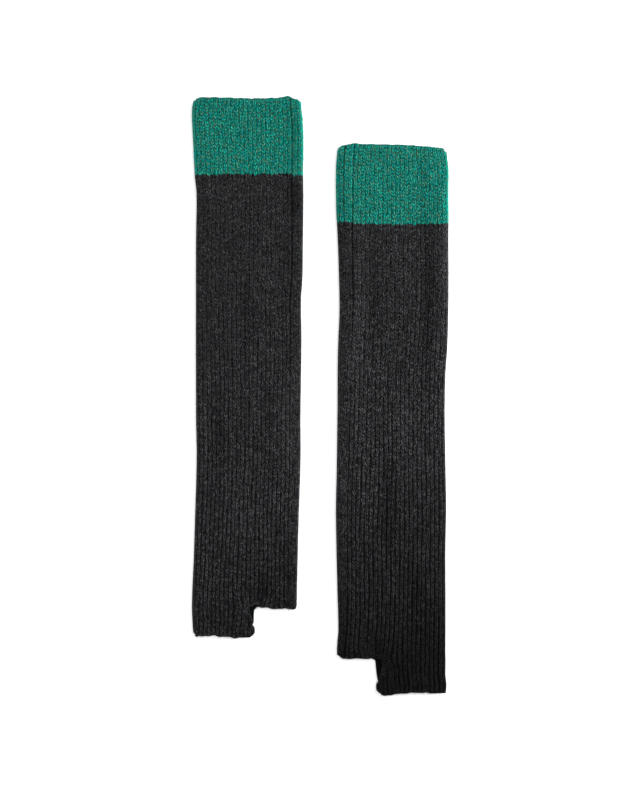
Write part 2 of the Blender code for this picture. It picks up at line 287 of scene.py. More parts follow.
LEFT_CUT = Cut(
    hand=Hand.LEFT,
    axis_x=-86.7,
    top_y=357.1,
    flap_ribs=14,
    join=91.4,
    heel_hem=612.6,
    stirrup=633.6,
    hem=646.6,
    sections=(
        Section(down=0.0, centre=-1.0, width=128.8, seam_in=12.4, rib_rise=0.6),
        Section(down=9.6, centre=-1.7, width=130.8, seam_in=12.5, rib_rise=0.7),
        Section(down=24.0, centre=-1.1, width=132.4, seam_in=12.6, rib_rise=0.7),
        Section(down=48.0, centre=0.0, width=132.2, seam_in=12.9, rib_rise=0.7),
        Section(down=91.4, centre=0.8, width=129.8, seam_in=13.0, rib_rise=0.7),
        Section(down=115.0, centre=2.1, width=127.7, seam_in=13.4, rib_rise=0.7),
        Section(down=170.0, centre=1.5, width=127.8, seam_in=12.8, rib_rise=0.8),
        Section(down=218.0, centre=1.1, width=127.3, seam_in=12.6, rib_rise=0.8),
        Section(down=242.0, centre=0.2, width=125.5, seam_in=12.8, rib_rise=0.9),
        Section(down=290.0, centre=0.5, width=126.2, seam_in=12.8, rib_rise=0.9),
        Section(down=386.0, centre=0.0, width=124.8, seam_in=12.6, rib_rise=1.0),
        Section(down=434.0, centre=0.4, width=124.2, seam_in=12.4, rib_rise=1.0),
        Section(down=506.0, centre=-1.7, width=123.9, seam_in=11.8, rib_rise=1.1),
        Section(down=554.0, centre=-3.1, width=124.2, seam_in=11.0, rib_rise=1.1),
        Section(down=602.0, centre=-4.6, width=125.3, seam_in=10.2, rib_rise=1.0),
        Section(down=615.0, centre=-4.7, width=125.3, seam_in=10.2, rib_rise=1.0),
        Section(down=630.0, centre=-4.3, width=124.9, seam_in=11.4, rib_rise=1.0),
        Section(down=636.0, centre=-4.1, width=124.8, seam_in=15.0, rib_rise=1.0),
        Section(down=647.0, centre=-4.0, width=124.6, seam_in=15.2, rib_rise=0.8),
    ),
    top_edge=(
        EdgePoint(across=0.00, drop=2.8),
        EdgePoint(across=0.04, drop=-0.2),
        EdgePoint(across=0.08, drop=-1.5),
        EdgePoint(across=0.30, drop=-0.9),
        EdgePoint(across=0.55, drop=0.2),
        EdgePoint(across=0.77, drop=-0.5),
        EdgePoint(across=0.89, drop=-2.8),
        EdgePoint(across=0.93, drop=0.1),
        EdgePoint(across=0.97, drop=1.4),
        EdgePoint(across=1.00, drop=5.4),
    ),
    join_edge=(
        EdgePoint(across=0.00, drop=0.4),
        EdgePoint(across=0.16, drop=0.0),
        EdgePoint(across=0.45, drop=-0.6),
        EdgePoint(across=0.70, drop=-1.2),
        EdgePoint(across=0.885, drop=-0.9),
        EdgePoint(across=0.915, drop=1.3),
        EdgePoint(across=1.00, drop=1.0),
    ),
    heel_edge=(
        EdgePoint(across=0.58, drop=5.4),
        EdgePoint(across=0.605, drop=2.0),
        EdgePoint(across=0.64, drop=-2.4),
        EdgePoint(across=0.74, drop=-0.6),
        EdgePoint(across=0.83, drop=0.3),
        EdgePoint(across=0.95, drop=0.2),
        EdgePoint(across=0.98, drop=1.6),
        EdgePoint(across=1.00, drop=-2.2),
    ),
    hem_edge=(
        EdgePoint(across=0.00, drop=-10.4),
        EdgePoint(across=0.03, drop=0.4),
        EdgePoint(across=0.12, drop=-1.5),
        EdgePoint(across=0.24, drop=-1.1),
        EdgePoint(across=0.35, drop=0.5),
        EdgePoint(across=0.46, drop=1.2),
        EdgePoint(across=0.53, drop=0.5),
        EdgePoint(across=0.565, drop=-1.4),
        EdgePoint(across=0.60, drop=-5.0),
    ),
    creases=(
        Crease(down=118.0, across=116.0, length=74.0, breadth=22.0, depth=0.8),
        Crease(down=62.0, across=131.0, length=230.0, breadth=22.0, depth=-0.7),
        Crease(down=402.0, across=26.0, length=150.0, breadth=22.0, depth=0.4),
        Crease(down=392.0, across=108.0, length=210.0, breadth=34.0, depth=-0.4),
        Crease(down=395.0, across=9.0, length=150.0, breadth=16.0, depth=-0.3),
        Crease(down=590.0, across=84.0, length=60.0, breadth=26.0, depth=0.7),
        Crease(down=262.0, across=58.0, length=120.0, breadth=26.0, depth=0.35),
        Crease(down=505.0, across=54.0, length=90.0, breadth=24.0, depth=-0.15),
    ),
    back_creases=(
        Crease(down=150.0, across=34.0, length=180.0, breadth=24.0, depth=0.35),
        Crease(down=365.0, across=88.0, length=240.0, breadth=20.0, depth=0.4),
        Crease(down=540.0, across=40.0, length=110.0, breadth=26.0, depth=0.3),
    ),
    insets=(
        Inset(below_hem=-4.0, reach=0.0),
        Inset(below_hem=0.0, reach=5.7),
        Inset(below_hem=5.0, reach=5.0),
        Inset(below_hem=13.0, reach=1.6),
        Inset(below_hem=20.0, reach=0.0),
    ),
    grooves=(
        Groove(
            rib=22,
            before=0.6,
            widths=(
                GroovePoint(down=0.0, gap=2.3),
                GroovePoint(down=60.0, gap=2.5),
                GroovePoint(down=96.0, gap=2.9),
                GroovePoint(down=170.0, gap=2.8),
                GroovePoint(down=230.0, gap=2.0),
                GroovePoint(down=290.0, gap=1.1),
                GroovePoint(down=345.0, gap=0.4),
            ),
        ),
        Groove(
            rib=24,
            before=0.5,
            widths=(
                GroovePoint(down=0.0, gap=0.5),
                GroovePoint(down=35.0, gap=1.2),
                GroovePoint(down=88.0, gap=1.2),
                GroovePoint(down=100.0, gap=0.4),
                GroovePoint(down=140.0, gap=0.0),
            ),
        ),
    ),
    ripple=0.6,
    corner_rise=6.0,
    wave_start=0.6,
    seed=11,
)

RIGHT_CUT = Cut(
    hand=Hand.RIGHT,
    axis_x=86.1,
    top_y=300.7,
    flap_ribs=15,
    join=94.4,
    heel_hem=616.6,
    stirrup=646.8,
    hem=658.8,
    sections=(
        Section(down=0.0, centre=0.0, width=130.4, seam_in=20.4, rib_rise=0.6),
        Section(down=10.8, centre=-0.1, width=132.3, seam_in=20.4, rib_rise=0.7),
        Section(down=30.0, centre=0.2, width=134.8, seam_in=20.5, rib_rise=0.7),
        Section(down=59.0, centre=0.1, width=134.6, seam_in=20.3, rib_rise=0.7),
        Section(down=88.0, centre=0.6, width=134.2, seam_in=19.4, rib_rise=0.7),
        Section(down=107.0, centre=1.1, width=132.5, seam_in=17.6, rib_rise=0.7),
        Section(down=150.0, centre=1.9, width=131.2, seam_in=16.4, rib_rise=0.8),
        Section(down=198.0, centre=2.2, width=130.1, seam_in=16.0, rib_rise=0.9),
        Section(down=246.0, centre=0.6, width=130.6, seam_in=15.4, rib_rise=0.9),
        Section(down=270.0, centre=-0.6, width=129.0, seam_in=15.0, rib_rise=0.9),
        Section(down=318.0, centre=-1.2, width=128.2, seam_in=14.4, rib_rise=1.0),
        Section(down=390.0, centre=-1.2, width=130.1, seam_in=13.6, rib_rise=1.0),
        Section(down=438.0, centre=-1.3, width=131.8, seam_in=13.0, rib_rise=1.1),
        Section(down=486.0, centre=-1.4, width=130.2, seam_in=12.4, rib_rise=1.1),
        Section(down=534.0, centre=-0.8, width=129.2, seam_in=11.9, rib_rise=1.1),
        Section(down=582.0, centre=-0.2, width=128.0, seam_in=9.2, rib_rise=1.1),
        Section(down=604.0, centre=-1.1, width=129.6, seam_in=8.8, rib_rise=1.0),
        Section(down=618.0, centre=-1.0, width=129.8, seam_in=9.0, rib_rise=1.0),
        Section(down=638.0, centre=-1.1, width=129.8, seam_in=11.0, rib_rise=1.0),
        Section(down=648.0, centre=-0.7, width=131.2, seam_in=13.4, rib_rise=1.0),
        Section(down=659.0, centre=-1.2, width=130.8, seam_in=15.4, rib_rise=0.8),
    ),
    top_edge=(
        EdgePoint(across=0.00, drop=11.2),
        EdgePoint(across=0.03, drop=3.6),
        EdgePoint(across=0.13, drop=1.8),
        EdgePoint(across=0.25, drop=0.7),
        EdgePoint(across=0.40, drop=-0.7),
        EdgePoint(across=0.80, drop=-1.7),
        EdgePoint(across=0.85, drop=-2.8),
        EdgePoint(across=0.92, drop=-0.7),
        EdgePoint(across=0.96, drop=0.2),
        EdgePoint(across=0.985, drop=2.4),
        EdgePoint(across=1.00, drop=7.4),
    ),
    join_edge=(
        EdgePoint(across=0.00, drop=-0.6),
        EdgePoint(across=0.20, drop=-0.2),
        EdgePoint(across=0.42, drop=0.6),
        EdgePoint(across=0.60, drop=0.0),
        EdgePoint(across=0.84, drop=-0.4),
        EdgePoint(across=0.87, drop=-2.4),
        EdgePoint(across=1.00, drop=-2.8),
    ),
    heel_edge=(
        EdgePoint(across=0.62, drop=3.8),
        EdgePoint(across=0.66, drop=0.8),
        EdgePoint(across=0.72, drop=-0.2),
        EdgePoint(across=0.84, drop=-0.3),
        EdgePoint(across=0.95, drop=-0.2),
        EdgePoint(across=1.00, drop=-4.8),
    ),
    hem_edge=(
        EdgePoint(across=0.00, drop=-1.2),
        EdgePoint(across=0.03, drop=-0.8),
        EdgePoint(across=0.27, drop=-1.8),
        EdgePoint(across=0.42, drop=-0.6),
        EdgePoint(across=0.52, drop=1.2),
        EdgePoint(across=0.565, drop=2.6),
        EdgePoint(across=0.60, drop=-0.6),
        EdgePoint(across=0.65, drop=-6.0),
    ),
    creases=(
        Crease(down=48.0, across=32.0, length=110.0, breadth=22.0, depth=0.5),
        Crease(down=175.0, across=24.0, length=280.0, breadth=24.0, depth=0.8),
        Crease(down=230.0, across=108.0, length=340.0, breadth=30.0, depth=-0.4),
        Crease(down=24.0, across=66.0, length=60.0, breadth=46.0, depth=0.35),
        Crease(down=84.0, across=92.0, length=70.0, breadth=60.0, depth=-0.3),
        Crease(down=80.0, across=131.0, length=240.0, breadth=20.0, depth=0.7),
        Crease(down=44.0, across=117.0, length=120.0, breadth=12.0, depth=-0.4),
        Crease(down=110.0, across=3.0, length=330.0, breadth=16.0, depth=-0.6),
        Crease(down=170.0, across=88.0, length=190.0, breadth=20.0, depth=0.5),
        Crease(down=440.0, across=70.0, length=200.0, breadth=30.0, depth=0.5),
        Crease(down=610.0, across=78.0, length=60.0, breadth=24.0, depth=0.7),
        Crease(down=330.0, across=50.0, length=110.0, breadth=28.0, depth=-0.3),
        Crease(down=535.0, across=36.0, length=100.0, breadth=24.0, depth=0.4),
    ),
    back_creases=(
        Crease(down=120.0, across=92.0, length=150.0, breadth=22.0, depth=0.35),
        Crease(down=300.0, across=40.0, length=260.0, breadth=24.0, depth=0.4),
        Crease(down=520.0, across=86.0, length=130.0, breadth=24.0, depth=0.3),
    ),
    insets=(
        Inset(below_hem=-5.0, reach=0.0),
        Inset(below_hem=1.0, reach=8.4),
        Inset(below_hem=9.0, reach=8.0),
        Inset(below_hem=16.0, reach=4.6),
        Inset(below_hem=22.0, reach=1.8),
        Inset(below_hem=28.0, reach=0.6),
        Inset(below_hem=32.0, reach=0.0),
    ),
    grooves=(
        Groove(
            rib=22,
            before=0.5,
            widths=(
                GroovePoint(down=0.0, gap=1.1),
                GroovePoint(down=86.0, gap=1.2),
                GroovePoint(down=98.0, gap=2.1),
                GroovePoint(down=160.0, gap=2.1),
                GroovePoint(down=190.0, gap=1.3),
                GroovePoint(down=225.0, gap=0.4),
                GroovePoint(down=525.0, gap=0.3),
                GroovePoint(down=560.0, gap=1.4),
                GroovePoint(down=617.0, gap=1.6),
            ),
        ),
        Groove(
            rib=24,
            before=0.5,
            widths=(
                GroovePoint(down=0.0, gap=1.9),
                GroovePoint(down=86.0, gap=1.9),
                GroovePoint(down=100.0, gap=0.6),
                GroovePoint(down=120.0, gap=0.0),
            ),
        ),
    ),
    ripple=0.35,
    corner_rise=3.0,
    wave_start=2.9,
    seed=29,
)


def bump(distance: float) -> float:
    """Soft hump.

    Args:
        distance: Share of the hump's half-length from its middle.

    Returns:
        1 at its middle, falling to 0 at its ends and beyond.
    """
    return (1.0 - distance * distance) ** 2 if abs(distance) < 1.0 else 0.0


def fade(distance: float, reach: float) -> float:
    """Soft fall from an edge.

    Args:
        distance: How far from the edge, on either side.
        reach: Where it has died out.

    Returns:
        1 at the edge and 0 at reach.
    """
    return max(0.0, 1.0 - abs(distance) / reach) ** 2


def clamp(value: float) -> float:
    """Value held between 0 and 1."""
    return min(1.0, max(0.0, value))


def smooth_step(share: float) -> float:
    """Soft step from 0 to 1 for a share from 0 to 1."""
    held = clamp(share)
    return held * held * (3.0 - 2.0 * held)


def along_table(rows: Iterable[tuple[float, float]], place: float) -> float:
    """Value on straight lines through a table's rows.

    Args:
        rows: Pairs of a place and a value, with the places rising.
        place: Where the value is wanted.

    Returns:
        The value there, or the nearest row's beyond the table's ends.
    """
    rows = list(rows)
    if place <= rows[0][0]:
        return rows[0][1]
    for (start, low), (end, high) in zip(rows, rows[1:]):
        if place <= end:
            return low + (high - low) * (place - start) / (end - start)
    return rows[-1][1]


def curve_through(before: float, start: float, end: float, after: float, share: float) -> float:
    """Smooth value between two rows of a table.

    Args:
        before: Value of the row before start.
        start: Value at share 0.
        end: Value at share 1.
        after: Value of the row after end.
        share: Share of the way from start to end.

    Returns:
        The value, heading as its neighbours do.
    """
    bend = share * share * (3.0 - 2.0 * share)
    lean_out = share * (1.0 - share) ** 2
    lean_in = share * share * (share - 1.0)
    heading_out = 0.5 * (end - before)
    heading_in = 0.5 * (after - start)
    return start + (end - start) * bend + heading_out * lean_out + heading_in * lean_in


class FlatTube:
    """The surface of one leg warmer's knitted tube, pressed flat, on the form of its solids."""

    def __init__(self, cut: Cut, gauge: KnitGauge) -> None:
        """Keep the sizes.

        Args:
            cut: The leg warmer's own sizes.
            gauge: Sizes of the knitted cloth.
        """
        self.cut = cut
        self.gauge = gauge
        self.known: dict[float, Section] = {}

    def section(self, down: float) -> Section:
        """Section of the tube.

        Args:
            down: Distance down the tube.

        Returns:
            The section there, on smooth curves through the table's rows.
        """
        if down not in self.known:
            rows = self.cut.sections
            last = len(rows) - 1
            after = next((i for i, row in enumerate(rows) if row.down > down), last)
            before = max(after - 1, 0)
            span = rows[after].down - rows[before].down
            share = clamp((down - rows[before].down) / span) if span else 0.0
            around = (rows[max(before - 1, 0)], rows[before], rows[after], rows[min(after + 1, last)])
            values = [curve_through(*column, share) for column in list(zip(*around))[1:]]
            self.known[down] = Section(down, *values)
        return self.known[down]

    def rib_place(self, section: Section, rib: float) -> float:
        """Distance of a rib from the instep fold.

        Args:
            section: Section of the tube.
            rib: Rib counted from the instep fold.

        Returns:
            Its distance: even up to the seam, and even from there to the heel fold.
        """
        gauge = self.gauge
        seam = section.width - section.seam_in
        if rib <= gauge.seam_rib:
            return gauge.fold_reach + (seam - gauge.fold_reach) * rib / gauge.seam_rib
        share = (rib - gauge.seam_rib) / (gauge.ribs - gauge.seam_rib)
        return seam + (section.width - gauge.fold_reach - seam) * share

    def lift(self, section: Section, place: float, turn: float) -> float:
        """Height that a layer floats above its lowest place.

        Args:
            section: Section of the tube.
            place: Distance from the instep fold.
            turn: 1 on the front, -1 on the back and between them on a fold.

        Returns:
            The height, less where a crease presses the front down, more where one lifts the back.
        """
        gauge = self.gauge
        pressed = self.pressed(section.down, place, turn)
        near_fold = clamp(min(place, section.width - place) / gauge.fold_fade)
        if turn > 0.0:
            return max(0.0, gauge.front_lift - pressed) * near_fold * turn
        return -pressed * near_fold * turn

    def pressed(self, down: float, place: float, turn: float) -> float:
        """How far the creases press a layer in.

        Args:
            down: Distance down the tube.
            place: Distance from the instep fold.
            turn: 1 on the front, -1 on the back and between them on a fold.

        Returns:
            The depth there, less than nothing on a ridge.
        """
        return sum(
            crease.depth
            * bump(2.0 * (down - crease.down) / crease.length)
            * bump(2.0 * (place - crease.across) / crease.breadth)
            for crease in (self.cut.creases if turn > 0.0 else self.cut.back_creases)
        )

    def shade(self, station: Station, down: float) -> float:
        """How much of the light a trough keeps from the yarn, less than nothing on a ridge."""
        place = self.rib_place(self.section(down), station.rib)
        return self.gauge.crease_shade * self.pressed(down, place, math.sin(math.radians(station.angle)))

    def lengthwise(self, section: Section, place: float, rib: float, turn: float) -> float:
        """Distance down the tube with the waves of the edges and of the colour change.

        Args:
            section: Section of the tube, whose down is the even distance.
            place: Distance from the instep fold.
            rib: Rib counted from the instep fold.
            turn: 1 on the front and -1 on the back.

        Returns:
            The distance at which the point really lies.
        """
        cut = self.cut
        gauge = self.gauge
        down = section.down
        across = place / section.width
        heel_side = clamp(1.0 + (rib - cut.flap_ribs) / 2.0)
        top = along_table(cut.top_edge, across) * fade(down, gauge.edge_fade)
        join = along_table(cut.join_edge, across) * fade(down - cut.join, gauge.join_fade)
        heel = along_table(cut.heel_edge, across) * fade(down - cut.heel_hem, gauge.edge_fade)
        hem = along_table(cut.hem_edge, across) * fade(down - cut.hem, cut.hem - cut.heel_hem)
        near_corner = bump((rib - cut.flap_ribs) / gauge.corner_ribs) * (1.0 + turn) / 2.0
        corner = cut.corner_rise * near_corner * fade(down - cut.heel_hem, gauge.corner_fade)
        turns = 2.0 * math.pi * place / gauge.ripple_length
        fine_turns = 2.0 * math.pi * place / (gauge.fine_ripple_length * gauge.ripple_length)
        wave = math.sin(turns + 3.0 * cut.wave_start)
        wave += gauge.fine_ripple * math.sin(fine_turns + cut.wave_start)
        edges = fade(down - cut.hem, gauge.ripple_fade)
        edges += heel_side * fade(down - cut.heel_hem, gauge.ripple_fade)
        rippled = cut.ripple * wave * (edges + gauge.top_ripple * fade(down, gauge.ripple_fade))
        return down + top + join + heel * heel_side + hem - corner + rippled

    def wander(self, down: float, place: float, width: float) -> float:
        """Sideways sway of the ribs, which die out towards the folds.

        Args:
            down: Distance down the tube.
            place: Distance from the instep fold.
            width: Width of the tube there.

        Returns:
            How far the rib sways towards the heel.
        """
        gauge = self.gauge
        held = clamp(min(place, width - place) / gauge.sway_ease)
        held *= clamp((width - place) / gauge.heel_sway_ease)
        sway = sum(
            wave.height * math.sin(down / wave.length + place / wave.slant + number * self.cut.wave_start)
            for number, wave in enumerate(gauge.sways, 1)
        )
        return sway * held

    def gathered(self, down: float, place: float, corner: float) -> float:
        """Pull of the ribs towards the inner corner of the open heel.

        Args:
            down: Distance down the tube.
            place: Distance from the instep fold.
            corner: The corner's distance from the instep fold.

        Returns:
            How far the rib moves towards the heel.
        """
        gauge = self.gauge
        away = place - corner
        near = bump(away / gauge.gather_reach) * fade(down - self.cut.heel_hem, gauge.gather_fade)
        return -gauge.gather_pull * away * near

    def drawn_in(self, down: float, station: Station, turn: float) -> float:
        """How far the front's open edge is drawn in at the flap.

        Args:
            down: Distance down the tube.
            station: Place round the tube.
            turn: 1 on the front and -1 on the back.

        Returns:
            The distance towards the instep, on the front alone.
        """
        near_edge = clamp(1.0 - (self.cut.flap_ribs - station.rib) / self.gauge.inset_ribs)
        if station.rib > self.cut.flap_ribs or near_edge == 0.0:
            return 0.0
        return along_table(self.cut.insets, down - self.cut.heel_hem) * near_edge * (1.0 + turn) / 2.0

    def point(self, station: Station, down: float, out: float) -> Vector:
        """Point on or near the cloth.

        Args:
            station: Place round the tube.
            down: Distance down the tube.
            out: Distance out from the solid's plain outer face.

        Returns:
            The point, in metres.
        """
        gauge = self.gauge
        cut = self.cut
        section = self.section(down)
        angle = math.radians(station.angle)
        turn = math.sin(angle)
        flat_place = self.rib_place(section, station.rib)
        bulge = gauge.fold_reach + out
        if station.fold and station.rib not in (0, gauge.ribs):
            closed = smooth_step((down - cut.stirrup) / gauge.closing_ease)
            bulge *= gauge.closing_start + (1.0 - gauge.closing_start) * closed
        place = flat_place + station.fold * math.cos(angle) * bulge
        lift = self.lift(section, place, turn)
        height = (2.0 * gauge.wall + gauge.layer_gap) * (1.0 + turn) / 2.0 + lift + out * turn
        lengthwise = self.lengthwise(section, place, station.rib, turn)
        corner = self.rib_place(section, cut.flap_ribs)
        sway = self.wander(down, flat_place, section.width) + self.gathered(down, flat_place, corner)
        if station.fold and station.rib in (0, gauge.ribs):
            sway = 0.0
        place += sway - self.drawn_in(down, station, turn)
        away = cut.hand.value * (place - section.width / 2.0)
        x = cut.axis_x + section.centre + away
        return Vector((x * MM, (cut.top_y - lengthwise) * MM, height * MM))

    def facing(self, station: Station, down: float, out: float) -> Vector:
        """Direction out of the cloth.

        Args:
            station: Place round the tube.
            down: Distance down the tube.
            out: Distance out from the solid's plain outer face.

        Returns:
            The unit direction.
        """
        angle = math.radians(station.angle)
        plain = Vector((self.cut.hand.value * station.fold * math.cos(angle), 0.0, math.sin(angle)))
        if station.fold:
            return plain
        side = self.point(station._replace(rib=station.rib + RIB_PROBE), down, out)
        side -= self.point(station._replace(rib=station.rib - RIB_PROBE), down, out)
        ahead = self.point(station, down + ROW_PROBE, out) - self.point(station, down - ROW_PROBE, out)
        normal = side.cross(ahead).normalized()
        return normal if normal.dot(plain) > 0.0 else -normal

    def upward(self, station: Station, down: float, out: float) -> Vector:
        """Direction along the rib, towards the cuff.

        Args:
            station: Place round the tube.
            down: Distance down the tube.
            out: Distance out from the solid's plain outer face.

        Returns:
            The unit direction.
        """
        ahead = self.point(station, down - ROW_PROBE, out) - self.point(station, down + ROW_PROBE, out)
        return ahead.normalized()

    def bed(self, station: Station) -> float:
        """How deep the cloth lies under the solid's plain outer face.

        Args:
            station: Place round the tube.

        Returns:
            The depth.
        """
        turn = math.sin(math.radians(station.angle))
        gauge = self.gauge
        return gauge.front_bed + (gauge.back_bed - gauge.front_bed) * (1.0 - turn) / 2.0

    def crest(self, station: Station, down: float) -> float:
        """How far the loops stand out from the solid's plain outer face.

        Args:
            station: Place round the tube.
            down: Distance down the tube.

        Returns:
            The distance: the ribs' rise on the front, and a little less than nothing on the back.
        """
        turn = max(0.0, math.sin(math.radians(station.angle)))
        low = self.gauge.back_crest
        return low + (self.section(down).rib_rise - low) * turn * turn

    def cloth_out(self, station: Station) -> float:
        """Distance of the ribbed cloth under the loops from the solid's plain outer face.

        Args:
            station: Place round the tube.

        Returns:
            The distance, which sways from rib to valley and sinks at the seam.
        """
        gauge = self.gauge
        out = -self.bed(station)
        if station.fold:
            around = math.cos(math.radians(station.angle)) ** 2
            out += gauge.fold_fill * around
            wave = gauge.fold_swell[0] + gauge.fold_swell[1] * around
        else:
            wave = math.sin(math.pi * station.rib) ** 2
        out += gauge.rib_swell * (wave - gauge.swell_level)
        if station.angle > 0.0 and not station.fold:
            away = (station.rib - gauge.seam_rib) / gauge.seam_breadth
            out -= gauge.seam_depth * bump(away)
        return out


# Point of a strand: its place across, along and up its cell, its half-width and its half-height.
StrandPoint = tuple[float, float, float, float, float]


@dataclass(frozen=True)
class UnitLoop:
    """One knitted loop of a rib: two leaning legs that meet at the foot side, in shares of its cell.

    A strand that is less bare lies deeper in the cloth, and its colour is darkened more by painted shade.
    """

    sides: int = 4
    bare: float = 1.0
    leg: tuple[StrandPoint, ...] = (
        (0.05, -0.62, 0.06, 0.0, 0.0),
        (0.14, -0.33, 0.66, 0.135, 0.34),
        (0.25, 0.0, 0.90, 0.170, 0.42),
        (0.355, 0.32, 0.62, 0.130, 0.34),
        (0.43, 0.55, 0.04, 0.0, 0.0),
    )

    def strands(self) -> list[tuple[StrandPoint, ...]]:
        """Both legs, the left one a mirror of the right one."""
        return [self.leg, tuple((-x, y, z, wide, high) for x, y, z, wide, high in self.leg)]


@dataclass(frozen=True)
class UnitStrand:
    """One single strand of yarn or fibre."""

    sides: int
    points: tuple[StrandPoint, ...]
    bare: float = 1.0

    def strands(self) -> list[tuple[StrandPoint, ...]]:
        """The one strand."""
        return [self.points]


BACK_LOOP = UnitLoop(
    leg=(
        (0.03, -0.66, 0.10, 0.0, 0.0),
        (0.17, -0.20, 0.80, 0.170, 0.40),
        (0.31, 0.22, 0.76, 0.165, 0.38),
        (0.40, 0.60, 0.10, 0.0, 0.0),
    ),
)

SEAM_BAR = UnitStrand(
    sides=4,
    # A bare share of 0 gives the bars the strands' full painted shade, as they lie in the seam's groove.
    bare=0.0,
    points=(
        (0.0, -0.5, 0.0, 0.0, 0.0),
        (0.04, -0.2, 0.35, 0.22, 0.35),
        (-0.04, 0.2, 0.35, 0.22, 0.35),
        (0.0, 0.5, 0.0, 0.0, 0.0),
    ),
)

FIBRE = UnitStrand(
    sides=3,
    points=(
        (0.0, 0.0, 0.0, 0.0, 0.0),
        (0.02, 0.22, 0.22, 0.026, 0.026),
        (0.10, 0.62, 0.30, 0.020, 0.020),
        (0.05, 1.0, 0.20, 0.0, 0.0),
    ),
)


def make_unit(name: str, shape: UnitLoop | UnitStrand) -> bpy.types.Object:
    """Build the small mesh that is set on every anchor.

    Args:
        name: Name of the object.
        shape: Its strands.

    Returns:
        The object, with a map of its cell and its strands' lengthwise shares.
    """
    bm = bmesh.new()
    layer = bm.loops.layers.uv.new("OFBake")
    share_layer = bm.verts.layers.float.new("strand")
    lane_layer = bm.verts.layers.float.new("lane")
    strands = shape.strands()
    sides = shape.sides
    for lane, points in enumerate(strands):
        left = (lane + MAP_MARGIN) / len(strands)
        wide = (1.0 - 2.0 * MAP_MARGIN) / len(strands)
        rings = []
        for x, y, z, half_width, half_height in points:
            turns = [2.0 * math.pi * side / sides for side in range(sides)]
            if half_width == 0.0:
                rings.append([bm.verts.new((x, y, z))])
            else:
                rings.append([
                    bm.verts.new((x + half_width * math.cos(turn), y, z + half_height * math.sin(turn)))
                    for turn in turns
                ])
        low, high = points[0][1], points[-1][1]
        inner = 1.0 - 2.0 * END_MARGIN
        shares = [END_MARGIN + inner * (point[1] - low) / (high - low) for point in points]
        for ring, share in zip(rings, shares):
            for vertex in ring:
                vertex[share_layer] = share * shape.bare
                vertex[lane_layer] = float(lane)
        for index, (ring, above) in enumerate(zip(rings, rings[1:])):
            for side in range(sides):
                here, there = left + wide * side / sides, left + wide * (side + 1) / sides
                corners = [(ring, side, here, shares[index]), (ring, side + 1, there, shares[index]),
                           (above, side + 1, there, shares[index + 1]),
                           (above, side, here, shares[index + 1])]
                if len(ring) == 1:
                    corners = [(ring, 0, (here + there) / 2.0, shares[index])] + corners[2:]
                elif len(above) == 1:
                    corners = corners[:2] + [(above, 0, (here + there) / 2.0, shares[index + 1])]
                face = bm.faces.new([part[at % len(part)] for part, at, _, _ in corners])
                for loop, (_, _, u, v) in zip(face.loops, corners):
                    loop[layer].uv = (u, v)
    bmesh.ops.recalc_face_normals(bm, faces=bm.faces)
    mesh = bpy.data.meshes.new(name)
    bm.to_mesh(mesh)
    bm.free()
    mesh.shade_smooth()
    unit = bpy.data.objects.new(name, mesh)
    bpy.context.scene.collection.objects.link(unit)
    return unit


@dataclass(frozen=True)
class Jitter:
    """How uneven repeated units are: largest random move, turn in radians and change of size."""

    place: float = 0.0
    turn: float = 0.0
    size: float = 0.0


class NodeBuilder:
    """Short calls for making and joining the nodes of a tree."""

    def __init__(self, tree: bpy.types.NodeTree) -> None:
        """Keep the tree that is built."""
        self.tree = tree

    def socket(self, name: str, kind: str, way: str = "INPUT", value: object = None) -> None:
        """Add a named socket to the tree.

        Args:
            name: Its name.
            kind: Its socket type.
            way: INPUT or OUTPUT.
            value: Its value where nothing is joined to it.
        """
        socket = self.tree.interface.new_socket(name=name, in_out=way, socket_type=kind)
        if value is not None:
            socket.default_value = value

    def node(self, kind: str, settings: dict[str, object] | None = None,
             **joined: object) -> bpy.types.Node:
        """Add a node.

        Args:
            kind: Its type.
            settings: Its properties.
            **joined: For in0, in1 and so on, a value or the socket that feeds that input.

        Returns:
            The node.
        """
        node = self.tree.nodes.new(kind)
        for name, value in (settings or {}).items():
            setattr(node, name, value)
        for name, value in joined.items():
            target = node.inputs[int(name[2:])]
            if isinstance(value, bpy.types.NodeSocket):
                self.tree.links.new(value, target)
            else:
                target.default_value = value
        return node

    def math(self, operation: str, first: object, second: object = 0.0) -> bpy.types.NodeSocket:
        """Add a Math node.

        Args:
            operation: What it does.
            first: First value or socket.
            second: Second value or socket.

        Returns:
            Its output.
        """
        return self.node("ShaderNodeMath", {"operation": operation}, in0=first, in1=second).outputs[0]

    def vector(self, operation: str, first: object, second: object) -> bpy.types.NodeSocket:
        """Add a Vector Math node.

        Args:
            operation: What it does.
            first: First vector or socket.
            second: Second vector or socket.

        Returns:
            Its vector output.
        """
        node = self.node("ShaderNodeVectorMath", {"operation": operation}, in0=first, in1=second)
        return node.outputs[0]

    def scaled(self, vector: object, factor: object) -> bpy.types.NodeSocket:
        """Add a vector scaled by a number.

        Args:
            vector: The vector or socket.
            factor: The number or socket.

        Returns:
            The scaled vector's output.
        """
        return self.node("ShaderNodeVectorMath", {"operation": "SCALE"}, in0=vector, in3=factor).outputs[0]


class Draw(enum.IntEnum):
    """Random draws of an anchor: the value is added to the seed."""

    TURN = 1
    SIZE = 2
    TONE = 3
    MOVE = 4


def set_inputs(node: bpy.types.Node, values: dict[str, object]) -> None:
    """Set a node's unlinked sockets.

    Args:
        node: The node.
        values: Each socket's value, by its name.
    """
    for name, value in values.items():
        node.inputs[name].default_value = value


